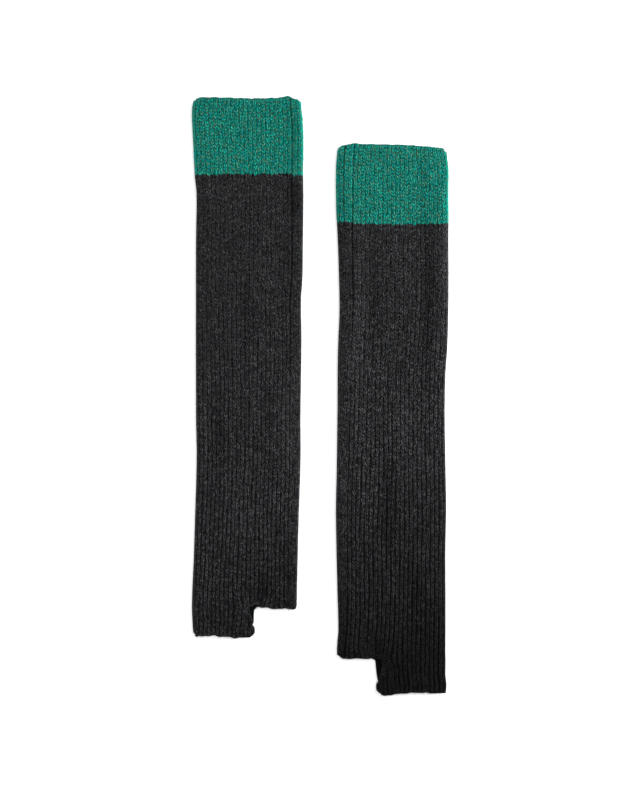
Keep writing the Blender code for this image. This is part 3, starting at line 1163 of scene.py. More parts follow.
class PlacingTree:
    """Geometry Nodes tree that sets a unit on every anchor, turned, sized and jittered by its data."""

    MOVE_SHARES = (0.7, 1.0, 0.25)
    LANE_STEPS = 16.0
    CELL_NUDGE = 0.25

    def __init__(self) -> None:
        """Build the tree."""
        self.tree = bpy.data.node_groups.new("set_units_on_anchors", "GeometryNodeTree")
        build = NodeBuilder(self.tree)
        build.socket("Anchors", "NodeSocketGeometry")
        build.socket("Unit", "NodeSocketObject")
        build.socket("Finish", "NodeSocketMaterial")
        build.socket("Place Jitter", "NodeSocketFloat", value=0.0)
        build.socket("Turn Jitter", "NodeSocketFloat", value=0.1)
        build.socket("Size Jitter", "NodeSocketFloat", value=0.1)
        build.socket("Seed", "NodeSocketInt", value=1)
        build.socket("Map Columns", "NodeSocketFloat", value=64.0)
        build.socket("Pieces", "NodeSocketGeometry", "OUTPUT")
        given = build.node("NodeGroupInput").outputs
        index = build.node("GeometryNodeInputIndex").outputs[0]
        turned = self.turned(build, given, index)
        sized = self.sized(build, given, index)
        unit = build.node("GeometryNodeObjectInfo", in0=given["Unit"]).outputs["Geometry"]
        reach = build.math("MULTIPLY", given["Place Jitter"], self.attribute(build, "FLOAT", "loose"))
        moves = build.vector("MULTIPLY", self.random(build, "FLOAT_VECTOR", given, index, Draw.MOVE),
                             self.MOVE_SHARES)
        moved = build.node("GeometryNodeSetPosition", in0=given["Anchors"],
                           in3=build.scaled(moves, reach)).outputs[0]
        placed = build.node("GeometryNodeInstanceOnPoints", in0=moved, in2=unit,
                            in5=turned, in6=sized).outputs[0]
        tone = self.random(build, "FLOAT", given, index, Draw.TONE)
        toned = build.node("GeometryNodeStoreNamedAttribute", {"data_type": "FLOAT", "domain": "INSTANCE"},
                           in0=placed, in2="tone", in3=tone).outputs[0]
        celled = build.node("GeometryNodeStoreNamedAttribute", {"data_type": "FLOAT", "domain": "INSTANCE"},
                            in0=toned, in2="cell", in3=index).outputs[0]
        real = build.node("GeometryNodeRealizeInstances", in0=celled).outputs[0]
        shown = self.toned(build, real)
        mapped = self.mapped(build, given, shown)
        finished = build.node("GeometryNodeSetMaterial", in0=mapped, in2=given["Finish"]).outputs[0]
        build.node("NodeGroupOutput", in0=finished)

    @staticmethod
    def attribute(build: NodeBuilder, kind: str, name: str) -> bpy.types.NodeSocket:
        """Read one of the anchors' named values.

        Args:
            build: Builder of the tree.
            kind: Data type of the value.
            name: Its name.

        Returns:
            The output that carries it.
        """
        return build.node("GeometryNodeInputNamedAttribute", {"data_type": kind}, in0=name).outputs[0]

    @staticmethod
    def random(build: NodeBuilder, kind: str, given: object, index: object,
               draw: Draw) -> bpy.types.NodeSocket:
        """Random value for each anchor.

        Args:
            build: Builder of the tree.
            kind: FLOAT, from 0 to 1, or FLOAT_VECTOR, from -1 to 1.
            given: Outputs of the group input.
            index: The anchor's number.
            draw: Which of its draws.

        Returns:
            The random output.
        """
        seed = build.math("ADD", given["Seed"], float(draw))
        node = build.node("FunctionNodeRandomValue", {"data_type": kind}, in7=index, in8=seed)
        if kind == "FLOAT_VECTOR":
            node.inputs[0].default_value = (-1.0, -1.0, -1.0)
            node.inputs[1].default_value = (1.0, 1.0, 1.0)
            return node.outputs[0]
        return node.outputs[1]

    def turned(self, build: NodeBuilder, given: object, index: object) -> bpy.types.NodeSocket:
        """Turn of each unit: height to facing, length to along, then a little at random.

        Args:
            build: Builder of the tree.
            given: Outputs of the group input.
            index: The anchor's number.

        Returns:
            The rotation output.
        """
        facing = self.attribute(build, "FLOAT_VECTOR", "facing")
        along = self.attribute(build, "FLOAT_VECTOR", "along")
        loose = self.attribute(build, "FLOAT", "loose")
        upright = build.node("FunctionNodeAlignRotationToVector", {"axis": "Z", "pivot_axis": "AUTO"},
                             in2=facing).outputs[0]
        aimed = build.node("FunctionNodeAlignRotationToVector", {"axis": "Y", "pivot_axis": "Z"},
                           in0=upright, in2=along).outputs[0]
        reach = build.math("MULTIPLY", given["Turn Jitter"], loose)
        jitter = build.scaled(self.random(build, "FLOAT_VECTOR", given, index, Draw.TURN), reach)
        extra = build.node("FunctionNodeEulerToRotation", in0=jitter).outputs[0]
        return build.node("FunctionNodeRotateRotation", {"rotation_space": "LOCAL"},
                          in0=aimed, in1=extra).outputs[0]

    def sized(self, build: NodeBuilder, given: object, index: object) -> bpy.types.NodeSocket:
        """Size of each unit, with a little jitter.

        Args:
            build: Builder of the tree.
            given: Outputs of the group input.
            index: The anchor's number.

        Returns:
            The scale output.
        """
        size = self.attribute(build, "FLOAT_VECTOR", "size")
        loose = self.attribute(build, "FLOAT", "loose")
        reach = build.math("MULTIPLY", given["Size Jitter"], loose)
        jitter = build.scaled(self.random(build, "FLOAT_VECTOR", given, index, Draw.SIZE), reach)
        return build.vector("MULTIPLY", size, build.vector("ADD", jitter, (1.0, 1.0, 1.0)))

    def toned(self, build: NodeBuilder, real: object) -> bpy.types.NodeSocket:
        """Give the second leg of each loop a tone of its own, and darken both by the anchor's painted shade.

        Args:
            build: Builder of the tree.
            real: Geometry of the realised units.

        Returns:
            The geometry output.
        """
        lane = self.attribute(build, "FLOAT", "lane")
        steps = build.math("ADD", build.math("MULTIPLY", lane, self.LANE_STEPS), 1.0)
        tone = build.math("FRACT", build.math("MULTIPLY", self.attribute(build, "FLOAT", "tone"), steps))
        tone = build.math("SUBTRACT", tone, self.attribute(build, "FLOAT", "shade"))
        return build.node("GeometryNodeStoreNamedAttribute", {"data_type": "FLOAT", "domain": "POINT"},
                          in0=real, in2="tone", in3=tone).outputs[0]

    def mapped(self, build: NodeBuilder, given: object, real: object) -> bpy.types.NodeSocket:
        """Give each unit a square of its own in the map.

        Args:
            build: Builder of the tree.
            given: Outputs of the group input.
            real: Geometry of the realised units.

        Returns:
            The geometry output.
        """
        cell = self.attribute(build, "FLOAT", "cell")
        cell_map = self.attribute(build, "FLOAT_VECTOR", "OFBake")
        columns = given["Map Columns"]
        column = build.math("MODULO", cell, columns)
        nudged = build.math("ADD", cell, self.CELL_NUDGE)
        row = build.math("FLOOR", build.math("DIVIDE", nudged, columns))
        corner = build.node("ShaderNodeCombineXYZ", in0=column, in1=row).outputs[0]
        share = build.math("DIVIDE", 1.0, columns)
        place = build.scaled(build.vector("ADD", cell_map, corner), share)
        return build.node("GeometryNodeStoreNamedAttribute", {"data_type": "FLOAT2", "domain": "CORNER"},
                          in0=real, in2="OFBake", in3=place).outputs[0]

    def build(self, name: str, anchors: list[Anchor], unit: bpy.types.Object, finish: bpy.types.Material,
              jitter: Jitter, seed: int) -> bpy.types.Object:
        """Set a unit on every anchor and make the result a plain mesh.

        Args:
            name: Name of the piece.
            anchors: Where the units go.
            unit: The unit.
            finish: Its material.
            jitter: How uneven the units are.
            seed: Seed of the random values.

        Returns:
            The finished piece.
        """
        base = self.anchor_object(name, anchors)
        modifier = base.modifiers.new("placing", "NODES")
        modifier.node_group = self.tree
        values = {"Unit": unit, "Finish": finish, "Place Jitter": jitter.place * MM,
                  "Turn Jitter": jitter.turn, "Size Jitter": jitter.size, "Seed": seed,
                  "Map Columns": float(math.ceil(math.sqrt(len(anchors))))}
        for item in self.tree.interface.items_tree:
            if item.item_type == "SOCKET" and item.in_out == "INPUT" and item.name in values:
                modifier[item.identifier] = values[item.name]
        evaluated = base.evaluated_get(bpy.context.evaluated_depsgraph_get())
        mesh = bpy.data.meshes.new_from_object(evaluated)
        bpy.data.objects.remove(base, do_unlink=True)
        for spare in ("facing", "along", "size", "loose", "shade", "cell", "lane"):
            if spare in mesh.attributes:
                mesh.attributes.remove(mesh.attributes[spare])
        mesh.name = name
        piece = bpy.data.objects.new(name, mesh)
        bpy.context.scene.collection.objects.link(piece)
        return piece

    @staticmethod
    def anchor_object(name: str, anchors: list[Anchor]) -> bpy.types.Object:
        """Mesh of loose points that carry the anchors' data.

        Args:
            name: Name of the piece that it is for.
            anchors: Where the units go.

        Returns:
            The object.
        """
        mesh = bpy.data.meshes.new(f"{name}_anchors")
        mesh.from_pydata([anchor.point for anchor in anchors], [], [])
        for key in ("facing", "along", "size"):
            values = [part for anchor in anchors for part in getattr(anchor, key)]
            mesh.attributes.new(key, "FLOAT_VECTOR", "POINT").data.foreach_set("vector", values)
        for key in ("loose", "shade"):
            values = [getattr(anchor, key) for anchor in anchors]
            mesh.attributes.new(key, "FLOAT", "POINT").data.foreach_set("value", values)
        base = bpy.data.objects.new(f"{name}_anchors", mesh)
        bpy.context.scene.collection.objects.link(base)
        return base


class HeatherGroup:
    """Shader node group of a heathered wool yarn: mixed fibres, mottling, flecks and fibre relief, with
    painted shade at the strands' ends, towards the cuffs and towards the feet.

    Waves are counted to the metre, and ranges along the legs are in metres.
    """

    STROKE = (1.0, 0.45, 1.0)
    FIBRE_WAVES = 640.0
    CLUMP_WAVES = 210.0
    CLOUD_WAVES = 26.0
    FINE_WAVES = 2600.0
    FLECK_WAVES = 480.0
    FIBRE_SHARE = 0.75
    FIBRE_RANGE = (0.38, 0.62)
    FLECK_SHIFTS = {"Fleck": 0.31, "Cool Fleck": 0.83}
    FLECK_EDGE = 0.78
    FLECK_SOFTNESS = 0.16
    # Painted shade: where the darkening runs towards the cuffs and towards the feet, on lines that slope
    # across the pair; the first share also sets how strongly the loops differ. The power sets how sharply
    # the strands' ends are darkened.
    HEAD_SLOPE = 0.5
    HEAD_RANGE = (-0.25, 0.10)
    HEAD_STRENGTH = 0.55
    FOOT_SLOPE = 0.35
    FOOT_RANGE = (0.12, 0.36)
    END_SHADE_POWER = 2.4
    RELIEF_FIBRES = 0.6
    LEAST_ROUGH = 0.86
    ROUGH_RANGE = 0.14

    def __init__(self) -> None:
        """Build the group."""
        self.tree = bpy.data.node_groups.new("heathered_wool", "ShaderNodeTree")
        build = NodeBuilder(self.tree)
        for name in ("Deep Fibre", "Main Fibre", "Light Fibre", "Fleck", "Cool Fleck"):
            build.socket(name, "NodeSocketColor")
        build.socket("Fleck Share", "NodeSocketFloat", value=0.05)
        build.socket("Mottling", "NodeSocketFloat", value=0.2)
        build.socket("Tone", "NodeSocketFloat", value=0.5)
        build.socket("Tone Reach", "NodeSocketFloat", value=0.2)
        build.socket("Strand", "NodeSocketFloat", value=0.5)
        build.socket("Tuck", "NodeSocketFloat", value=0.7)
        build.socket("Foot Shade", "NodeSocketFloat", value=0.0)
        build.socket("Head Shade", "NodeSocketFloat", value=0.0)
        build.socket("Colour", "NodeSocketColor", "OUTPUT")
        build.socket("Relief", "NodeSocketFloat", "OUTPUT")
        build.socket("Roughness", "NodeSocketFloat", "OUTPUT")
        given = build.node("NodeGroupInput").outputs
        place = build.node("ShaderNodeTexCoord").outputs["Object"]
        strokes = build.vector("MULTIPLY", place, self.STROKE)
        fibres = self.noise(build, strokes, self.FIBRE_WAVES, 3.0, 0.6)
        fine = self.noise(build, place, self.FINE_WAVES, 2.0, 0.6)
        down_from_head = self.along_legs(build, place, self.HEAD_SLOPE, self.HEAD_RANGE)
        strength = build.math("MULTIPLY", down_from_head, 1.0 - self.HEAD_STRENGTH)
        strength = build.math("ADD", strength, self.HEAD_STRENGTH)
        blended = self.blended(build, given, place, fibres, strength)
        flecked = self.flecked(build, given, strokes, blended)
        level = self.level(build, given, place, down_from_head, strength)
        colour = build.scaled(flecked, level)
        relief = build.math("ADD", build.math("MULTIPLY", fibres, self.RELIEF_FIBRES),
                            build.math("MULTIPLY", fine, 1.0 - self.RELIEF_FIBRES))
        rough = build.math("ADD", self.LEAST_ROUGH, build.math("MULTIPLY", fine, self.ROUGH_RANGE))
        build.node("NodeGroupOutput", in0=colour, in1=relief, in2=rough)

    def along_legs(self, build: NodeBuilder, place: object, slope: float,
                   ends: tuple[float, float]) -> bpy.types.NodeSocket:
        """Share of the way from the cuffs to the feet, on lines that slope across the pair.

        Args:
            build: Builder of the group.
            place: Object coordinates.
            slope: How far the lines drop for each metre across.
            ends: Where the share is 0 and 1.

        Returns:
            The share's output.
        """
        apart = build.node("ShaderNodeSeparateXYZ", in0=place)
        sloped = build.math("SUBTRACT", build.math("MULTIPLY", apart.outputs[0], slope), apart.outputs[1])
        return self.spread(build, sloped, *ends)

    def blended(self, build: NodeBuilder, given: object, place: object, fibres: object,
                strength: object) -> bpy.types.NodeSocket:
        """Mix the deep, main and light fibres by their noise and by the tone of each half of a loop.

        Args:
            build: Builder of the group.
            given: Outputs of the group input.
            place: Object coordinates.
            fibres: Noise of the fibres.
            strength: How strongly the loops differ.

        Returns:
            The mixed colour.
        """
        clumps = self.noise(build, place, self.CLUMP_WAVES, 2.0, 0.5)
        spread = build.math("ADD", build.math("MULTIPLY", fibres, self.FIBRE_SHARE),
                            build.math("MULTIPLY", clumps, 1.0 - self.FIBRE_SHARE))
        spread = self.spread(build, spread, *self.FIBRE_RANGE)
        reach = build.math("MULTIPLY", given["Tone Reach"], strength)
        own = build.math("MULTIPLY", build.math("SUBTRACT", given["Tone"], 0.5), reach)
        toned = build.math("ADD", spread, own)
        low = self.mix(build, self.spread(build, toned, 0.0, 0.5), given["Deep Fibre"], given["Main Fibre"])
        return self.mix(build, self.spread(build, toned, 0.5, 1.0), low, given["Light Fibre"])

    def flecked(self, build: NodeBuilder, given: object, strokes: object,
                blended: object) -> bpy.types.NodeSocket:
        """Add the two flecks.

        Args:
            build: Builder of the group.
            given: Outputs of the group input.
            strokes: Coordinates drawn out along the legs.
            blended: Colour of the fibres.

        Returns:
            The flecked colour.
        """
        edge = build.math("SUBTRACT", self.FLECK_EDGE, given["Fleck Share"])
        colour = blended
        for name, shift in self.FLECK_SHIFTS.items():
            moved = build.vector("ADD", strokes, (shift, 0.17, 0.05))
            patch = build.math("SUBTRACT", self.noise(build, moved, self.FLECK_WAVES, 1.0, 0.5), edge)
            share = self.spread(build, patch, 0.0, self.FLECK_SOFTNESS)
            colour = self.mix(build, share, colour, given[name])
        return colour

    def level(self, build: NodeBuilder, given: object, place: object, down_from_head: object,
              strength: object) -> bpy.types.NodeSocket:
        """How light the yarn is: its clouds, and painted shade at the strands' ends, towards the cuffs and
        towards the feet.

        Args:
            build: Builder of the group.
            given: Outputs of the group input.
            place: Object coordinates.
            down_from_head: Share of the way down from the cuffs, on lines that slope across the pair; it
                sets how strongly the loops differ and where the painted shade at the cuffs fades.
            strength: How strongly the loops differ, and how deep the painted shade at the strands' ends is.

        Returns:
            The factor's output.
        """
        clouds = self.noise(build, place, self.CLOUD_WAVES, 2.0, 0.5)
        cloud = build.math("MULTIPLY", build.math("SUBTRACT", clouds, 0.5), given["Mottling"])
        bright = build.math("ADD", 1.0, cloud)
        # Painted shade: each strand is darkened towards its ends, where it dips into the cloth, as if in
        # shadow.
        bent = build.math("SUBTRACT", build.math("MULTIPLY", given["Strand"], 2.0), 1.0)
        tuck = build.math("MULTIPLY", given["Tuck"], strength)
        end = build.math("POWER", build.math("ABSOLUTE", bent), self.END_SHADE_POWER)
        ends_shaded = build.math("SUBTRACT", 1.0, build.math("MULTIPLY", end, tuck))
        # Painted shade, as the light falls off: darker towards the feet, more on the right, and towards the
        # cuffs, more on the left.
        footward = self.along_legs(build, place, self.FOOT_SLOPE, self.FOOT_RANGE)
        shaded = build.math("SUBTRACT", 1.0, build.math("MULTIPLY", footward, given["Foot Shade"]))
        headed = build.math("MULTIPLY", build.math("SUBTRACT", 1.0, down_from_head), given["Head Shade"])
        shaded = build.math("MULTIPLY", shaded, build.math("SUBTRACT", 1.0, headed))
        return build.math("MULTIPLY", build.math("MULTIPLY", bright, ends_shaded), shaded)

    @staticmethod
    def noise(build: NodeBuilder, place: object, scale: float, detail: float,
              rough: float) -> bpy.types.NodeSocket:
        """Noise over the object.

        Args:
            build: Builder of the group.
            place: Coordinates.
            scale: Waves a metre.
            detail: Octaves.
            rough: Weight of the finer octaves.

        Returns:
            The noise's value.
        """
        node = build.node("ShaderNodeTexNoise")
        build.tree.links.new(place, node.inputs["Vector"])
        set_inputs(node, {"Scale": scale, "Detail": detail, "Roughness": rough})
        return node.outputs[0]

    @staticmethod
    def spread(build: NodeBuilder, value: object, low: float, high: float) -> bpy.types.NodeSocket:
        """Spread a range out to 0 to 1.

        Args:
            build: Builder of the group.
            value: The value.
            low: What becomes 0.
            high: What becomes 1.

        Returns:
            The spread value, held between 0 and 1.
        """
        node = build.node("ShaderNodeMapRange", {"clamp": True}, in0=value, in1=low, in2=high)
        return node.outputs[0]

    @staticmethod
    def mix(build: NodeBuilder, share: object, first: object, second: object) -> bpy.types.NodeSocket:
        """Mix two colours.

        Args:
            build: Builder of the group.
            share: Share of the second.
            first: First colour.
            second: Second colour.

        Returns:
            The mixed colour.
        """
        node = build.node("ShaderNodeMix", {"data_type": "RGBA"}, in0=share, in6=first, in7=second)
        return node.outputs[2]


@dataclass(frozen=True)
class WoolFinish:
    """Finish of one yarn, in linear colour."""

    yarn: Yarn
    deep: tuple[float, float, float, float]
    main: tuple[float, float, float, float]
    light: tuple[float, float, float, float]
    fleck: tuple[float, float, float, float]
    cool_fleck: tuple[float, float, float, float]
    fleck_share: float
    mottling: float
    tone_reach: float
    # Painted shade: how much the strands' ends are darkened, and how much darker the yarn gets towards the
    # feet and towards the cuffs.
    tuck: float
    foot_shade: float
    head_shade: float
    sheen: float
    sheen_tint: tuple[float, float, float, float]
    sheen_roughness: float = 0.45
    gloss: float = 0.06
    relief: float = 0.35
    relief_depth: float = 0.0004

    def material(self, group: HeatherGroup) -> bpy.types.Material:
        """Build the material.

        Args:
            group: The shared heather group.

        Returns:
            The material.
        """
        material = bpy.data.materials.new(self.yarn.value)
        material.use_nodes = True
        tree = material.node_tree
        build = NodeBuilder(tree)
        surface = tree.nodes["Principled BSDF"]
        heather = build.node("ShaderNodeGroup", {"node_tree": group.tree})
        bumped = build.node("ShaderNodeBump")
        set_inputs(heather, {
            "Deep Fibre": self.deep,
            "Main Fibre": self.main,
            "Light Fibre": self.light,
            "Fleck": self.fleck,
            "Cool Fleck": self.cool_fleck,
            "Fleck Share": self.fleck_share,
            "Mottling": self.mottling,
            "Tone Reach": self.tone_reach,
            "Tuck": self.tuck,
            "Foot Shade": self.foot_shade,
            "Head Shade": self.head_shade,
        })
        set_inputs(bumped, {"Strength": self.relief, "Distance": self.relief_depth})
        set_inputs(surface, {
            "Sheen Weight": self.sheen,
            "Sheen Roughness": self.sheen_roughness,
            "Sheen Tint": self.sheen_tint,
            "Specular IOR Level": self.gloss,
        })
        for name in ("tone", "strand"):
            value = build.node("ShaderNodeAttribute", {"attribute_name": name}).outputs["Fac"]
            tree.links.new(value, heather.inputs[name.title()])
        tree.links.new(heather.outputs["Relief"], bumped.inputs["Height"])
        tree.links.new(heather.outputs["Colour"], surface.inputs["Base Color"])
        tree.links.new(heather.outputs["Roughness"], surface.inputs["Roughness"])
        tree.links.new(bumped.outputs["Normal"], surface.inputs["Normal"])
        return material


CHARCOAL_FINISH = WoolFinish(
    yarn=Yarn.CHARCOAL,
    deep=(0.0045, 0.0046, 0.0048, 1.0),
    main=(0.0220, 0.0220, 0.0230, 1.0),
    light=(0.076, 0.076, 0.080, 1.0),
    fleck=(0.058, 0.042, 0.040, 1.0),
    cool_fleck=(0.018, 0.029, 0.042, 1.0),
    fleck_share=0.18,
    mottling=0.30,
    tone_reach=0.62,
    # Painted shade at the strands' ends, towards the feet and towards the cuffs.
    tuck=0.76,
    foot_shade=0.86,
    head_shade=0.36,
    sheen=0.05,
    sheen_tint=(0.75, 0.77, 0.82, 1.0),
)

TEAL_GREEN_FINISH = WoolFinish(
    yarn=Yarn.TEAL_GREEN,
    deep=(0.0008, 0.072, 0.052, 1.0),
    main=(0.0020, 0.200, 0.141, 1.0),
    light=(0.010, 0.330, 0.238, 1.0),
    fleck=(0.062, 0.160, 0.100, 1.0),
    cool_fleck=(0.0005, 0.170, 0.165, 1.0),
    fleck_share=0.28,
    mottling=0.26,
    tone_reach=0.72,
    # Painted shade at the strands' ends, and none towards the feet or the cuffs.
    tuck=0.92,
    foot_shade=0.0,
    head_shade=0.0,
    sheen=0.05,
    sheen_tint=(0.30, 0.95, 0.85, 1.0),
)


@dataclass
class Workshop:
    """What both leg warmers share: the placing tree, the small units and the finishes."""

    placing: PlacingTree = field(default_factory=PlacingTree)
    heather: HeatherGroup = field(default_factory=HeatherGroup)

    def __post_init__(self) -> None:
        """Build the units and the materials."""
        self.front_loop = make_unit("front_loop_unit", UnitLoop())
        self.back_loop = make_unit("back_loop_unit", BACK_LOOP)
        self.seam_bar = make_unit("seam_bar_unit", SEAM_BAR)
        self.fibre = make_unit("fibre_unit", FIBRE)
        self.finishes = {
            finish.yarn: finish.material(self.heather) for finish in (CHARCOAL_FINISH, TEAL_GREEN_FINISH)
        }

    def clear(self) -> None:
        """Remove the units once every piece is made."""
        for unit in (self.front_loop, self.back_loop, self.seam_bar, self.fibre):
            bpy.data.objects.remove(unit, do_unlink=True)


@dataclass
class LegWarmer:
    """One leg warmer: cuff and leg, each with its cloth, loops, edge chain, seam bars and fuzz."""

    cut: Cut
    gauge: KnitGauge
    shop: Workshop
    # Cloth: points of its mesh, its rows, and the painted shade that sets it back behind the loops: its
    # tones, near black in wide grooves and on the lining, and its strand shares, darker off the folds.
    points_a_rib: int = 4
    back_points_a_rib: int = 2
    fold_points: int = 7
    cuff_row: float = 7.7
    cloth_row: float = 11.0
    flap_row: float = 4.0
    cut_row: float = 10.0
    join_gap: float = 0.3
    lining_out: float = 2.6
    sharp_angle: float = 70.0
    shaded_cloth_tone: float = 0.3
    shadow_tone: float = -1.0
    groove_share: float = 0.1
    groove_ease: float = 0.08
    flat_strand: float = 0.02
    fold_strand: float = 0.25
    # Loops on a fold: the angle of each column and its share of a quarter of both folds' cloth.
    fold_loops: tuple[tuple[float, float], ...] = ((45.0, 1.0), (-34.0, 0.82))
    # Chain of loops round the free edges.
    edge_inset: float = 1.2
    selvedge_row: float = 2.0
    chain_step: float = 4.6
    chain_fill: float = 0.98
    chain_depth: float = 0.8
    chain_width: float = 1.9
    chain_floor: float = 1.6
    chain_bed: float = 0.55
    chain_sink: float = 1.6
    chain_tilt: float = 0.3
    # Bars across the seam.
    bar_bed: float = 1.0
    bar_size: tuple[float, float, float] = (1.6, 3.6, 0.7)
    # Fuzz: how many fibres, the draws below which one goes on either fold or on a rim, and its lie.
    fibres: dict[Part, int] = field(default_factory=lambda: {Part.CUFF: 700, Part.LEG: 2700})
    instep_draw: float = 0.34
    heel_draw: float = 0.64
    rim_draw: float = 0.72
    fibre_angles: tuple[float, float] = (-20.0, 80.0)
    fibre_margin: float = 0.2
    fibre_rim: tuple[float, float] = (0.2, 1.4)
    fibre_bed: float = 0.5
    fibre_lengths: tuple[float, float] = (1.6, 3.6)
    fibre_reach: float = 1.4
    fibre_droop: float = 0.3

    def __post_init__(self) -> None:
        """Set up the surface and the random numbers."""
        self.tube = FlatTube(self.cut, self.gauge)
        self.chance = random.Random(self.cut.seed)
        self.phases = [self.chance.uniform(-0.5, 0.5) for _ in range(2 * self.gauge.ribs + 8)]

    def yarn(self, part: Part) -> Yarn:
        """Yarn of a part."""
        return Yarn.TEAL_GREEN if part is Part.CUFF else Yarn.CHARCOAL

    def cloth_run(self, from_rib: float, to_rib: float, angle: float, steps: int) -> list[Station]:
        """Stations on a flat layer.

        Args:
            from_rib: First rib.
            to_rib: Last rib.
            angle: 90 for the front and -90 for the back.
            steps: Stations to a rib.

        Returns:
            The stations, both ends among them.
        """
        count = round(abs(to_rib - from_rib) * steps)
        ribs = [round(from_rib + (to_rib - from_rib) * i / count, 4) for i in range(count + 1)]
        return [Station(rib, angle) for rib in ribs]

    def fold_run(self, rib: float, fold: int, start: float) -> list[Station]:
        """Stations round a fold, without its two ends.

        Args:
            rib: Rib at which the fold turns.
            fold: -1 for the instep and 1 for the heel or the flap's closing fold.
            start: Angle at its start, 90 or -90.

        Returns:
            The stations.
        """
        half = (self.fold_points + 1) / 2.0
        return [Station(rib, start * (1.0 - i / half), fold) for i in range(1, self.fold_points + 1)]

    def ring(self) -> list[Station]:
        """Stations right round the tube.

        Returns:
            The stations: front, heel fold, back and instep fold.
        """
        ribs = self.gauge.ribs
        front = self.cloth_run(0, ribs, FRONT, self.points_a_rib)
        back = self.cloth_run(ribs, 0, BACK, self.back_points_a_rib)
        return front + self.fold_run(ribs, 1, FRONT) + back + self.fold_run(0, -1, BACK)

    def flap(self) -> list[Station]:
        """Stations of the instep flap.

        Returns:
            The stations, from its open edge at the back round to the one at the front.
        """
        ribs = self.cut.flap_ribs
        back = self.cloth_run(ribs, 0, BACK, self.back_points_a_rib)
        front = self.cloth_run(0, ribs, FRONT, self.points_a_rib)
        return back + self.fold_run(0, -1, BACK) + front

    def rows(self, start: float, end: float, step: float) -> list[float]:
        """Even rows.

        Args:
            start: First row.
            end: Last row.
            step: About the distance between two.

        Returns:
            The rows.
        """
        count = max(1, round((end - start) / step))
        return [start + (end - start) * i / count for i in range(count)] + [end]

    def strips(self, part: Part) -> list[Strip]:
        """Strips of cloth of a part.

        Args:
            part: Cuff or leg.

        Returns:
            The strips: tube, then flap, then stirrup ring.
        """
        cut = self.cut
        ring = self.ring()
        whole = (tuple(ring + ring[:1]),)
        flap = self.flap()
        closing = [flap[-1]] + self.fold_run(cut.flap_ribs, 1, FRONT) + [flap[0]]
        half_gap = self.join_gap / 2.0
        stretches = {
            Part.CUFF: [(self.rows(0.0, cut.join - half_gap, self.cuff_row), whole)],
            Part.LEG: [
                (self.rows(cut.join + half_gap, cut.heel_hem, self.cloth_row), whole),
                (self.rows(cut.heel_hem, cut.stirrup, self.flap_row), (tuple(flap),)),
                (self.rows(cut.stirrup, cut.hem, self.flap_row), (tuple(flap), tuple(closing))),
            ],
        }[part]
        return [
            Strip(upper, lower, runs)
            for rows, runs in stretches
            for upper, lower in zip(rows, rows[1:])
        ]

    def build_cloth(self, part: Part) -> bpy.types.Object:
        """Build the thin ribbed cloth under the loops: a closed wall with a rim round each opening.

        Args:
            part: Cuff or leg.

        Returns:
            The piece.
        """
        bm = bmesh.new()
        tone_layer = bm.verts.layers.float.new("tone")
        strand_layer = bm.verts.layers.float.new("strand")
        made: dict[tuple[float, Station, bool], bmesh.types.BMVert] = {}

        def vert(down: float, station: Station, inside: bool) -> bmesh.types.BMVert:
            """Vertex of a station, made once.

            Args:
                down: Distance down the tube.
                station: Place round the tube.
                inside: Whether it is on the lining.

            Returns:
                The vertex.
            """
            key = (down, station, inside)
            if key not in made:
                out = -self.lining_out if inside else self.tube.cloth_out(station)
                made[key] = bm.verts.new(self.tube.point(station, down, out))
                # Painted shade: the cloth is toned darker than the loops, darker still under a crease and
                # lighter on a ridge; in a wide groove and on the lining, where shadow falls, it is near
                # black.
                plain = self.shaded_cloth_tone - self.tube.shade(station, down)
                in_shadow = inside or self.in_groove(station, down)
                made[key][tone_layer] = self.shadow_tone if in_shadow else plain
                on_fold = station.fold and not inside
                made[key][strand_layer] = self.fold_strand if on_fold else self.flat_strand
            return made[key]

        def quad(*corners: tuple[float, Station, bool]) -> None:
            """Face through four corners."""
            bm.faces.new([vert(*corner) for corner in corners])

        above: set[tuple[Station, Station]] = set()
        last = 0.0
        for upper, lower, runs in self.strips(part):
            pairs = [pair for run in runs for pair in zip(run, run[1:])]
            for start, end in pairs:
                quad((upper, start, False), (upper, end, False), (lower, end, False), (lower, start, False))
                quad((upper, start, True), (lower, start, True), (lower, end, True), (upper, end, True))
            for start, end in sorted(above.symmetric_difference(pairs)):
                quad((upper, start, False), (upper, end, False), (upper, end, True), (upper, start, True))
            ends = [station for run in runs for station in (run[0], run[-1])]
            for end in ends:
                if ends.count(end) == 1:
                    quad((upper, end, False), (lower, end, False), (lower, end, True), (upper, end, True))
            above = set(pairs)
            last = lower
        for start, end in sorted(above):
            quad((last, start, False), (last, end, False), (last, end, True), (last, start, True))
        bmesh.ops.recalc_face_normals(bm, faces=bm.faces)
        name = f"{self.cut.name}_{part.value}_cloth"
        mesh = bpy.data.meshes.new(name)
        bm.to_mesh(mesh)
        bm.free()
        mesh.shade_smooth()
        mesh.set_sharp_from_angle(angle=math.radians(self.sharp_angle))
        mesh.materials.append(self.shop.finishes[self.yarn(part)])
        piece = bpy.data.objects.new(name, mesh)
        bpy.context.scene.collection.objects.link(piece)
        return piece

    def in_groove(self, station: Station, down: float) -> bool:
        """Whether a point of the cloth shows only at the bottom of a groove, where it is painted near black
        as shadow.

        Args:
            station: Place round the tube.
            down: Distance down the tube.

        Returns:
            True in a groove that is wide enough there.
        """
        if station.fold or station.angle < 0.0:
            return False
        return any(
            abs(station.rib - groove.rib) < self.groove_share * groove.gap(down) - self.groove_ease
            for groove in self.cut.grooves
        )

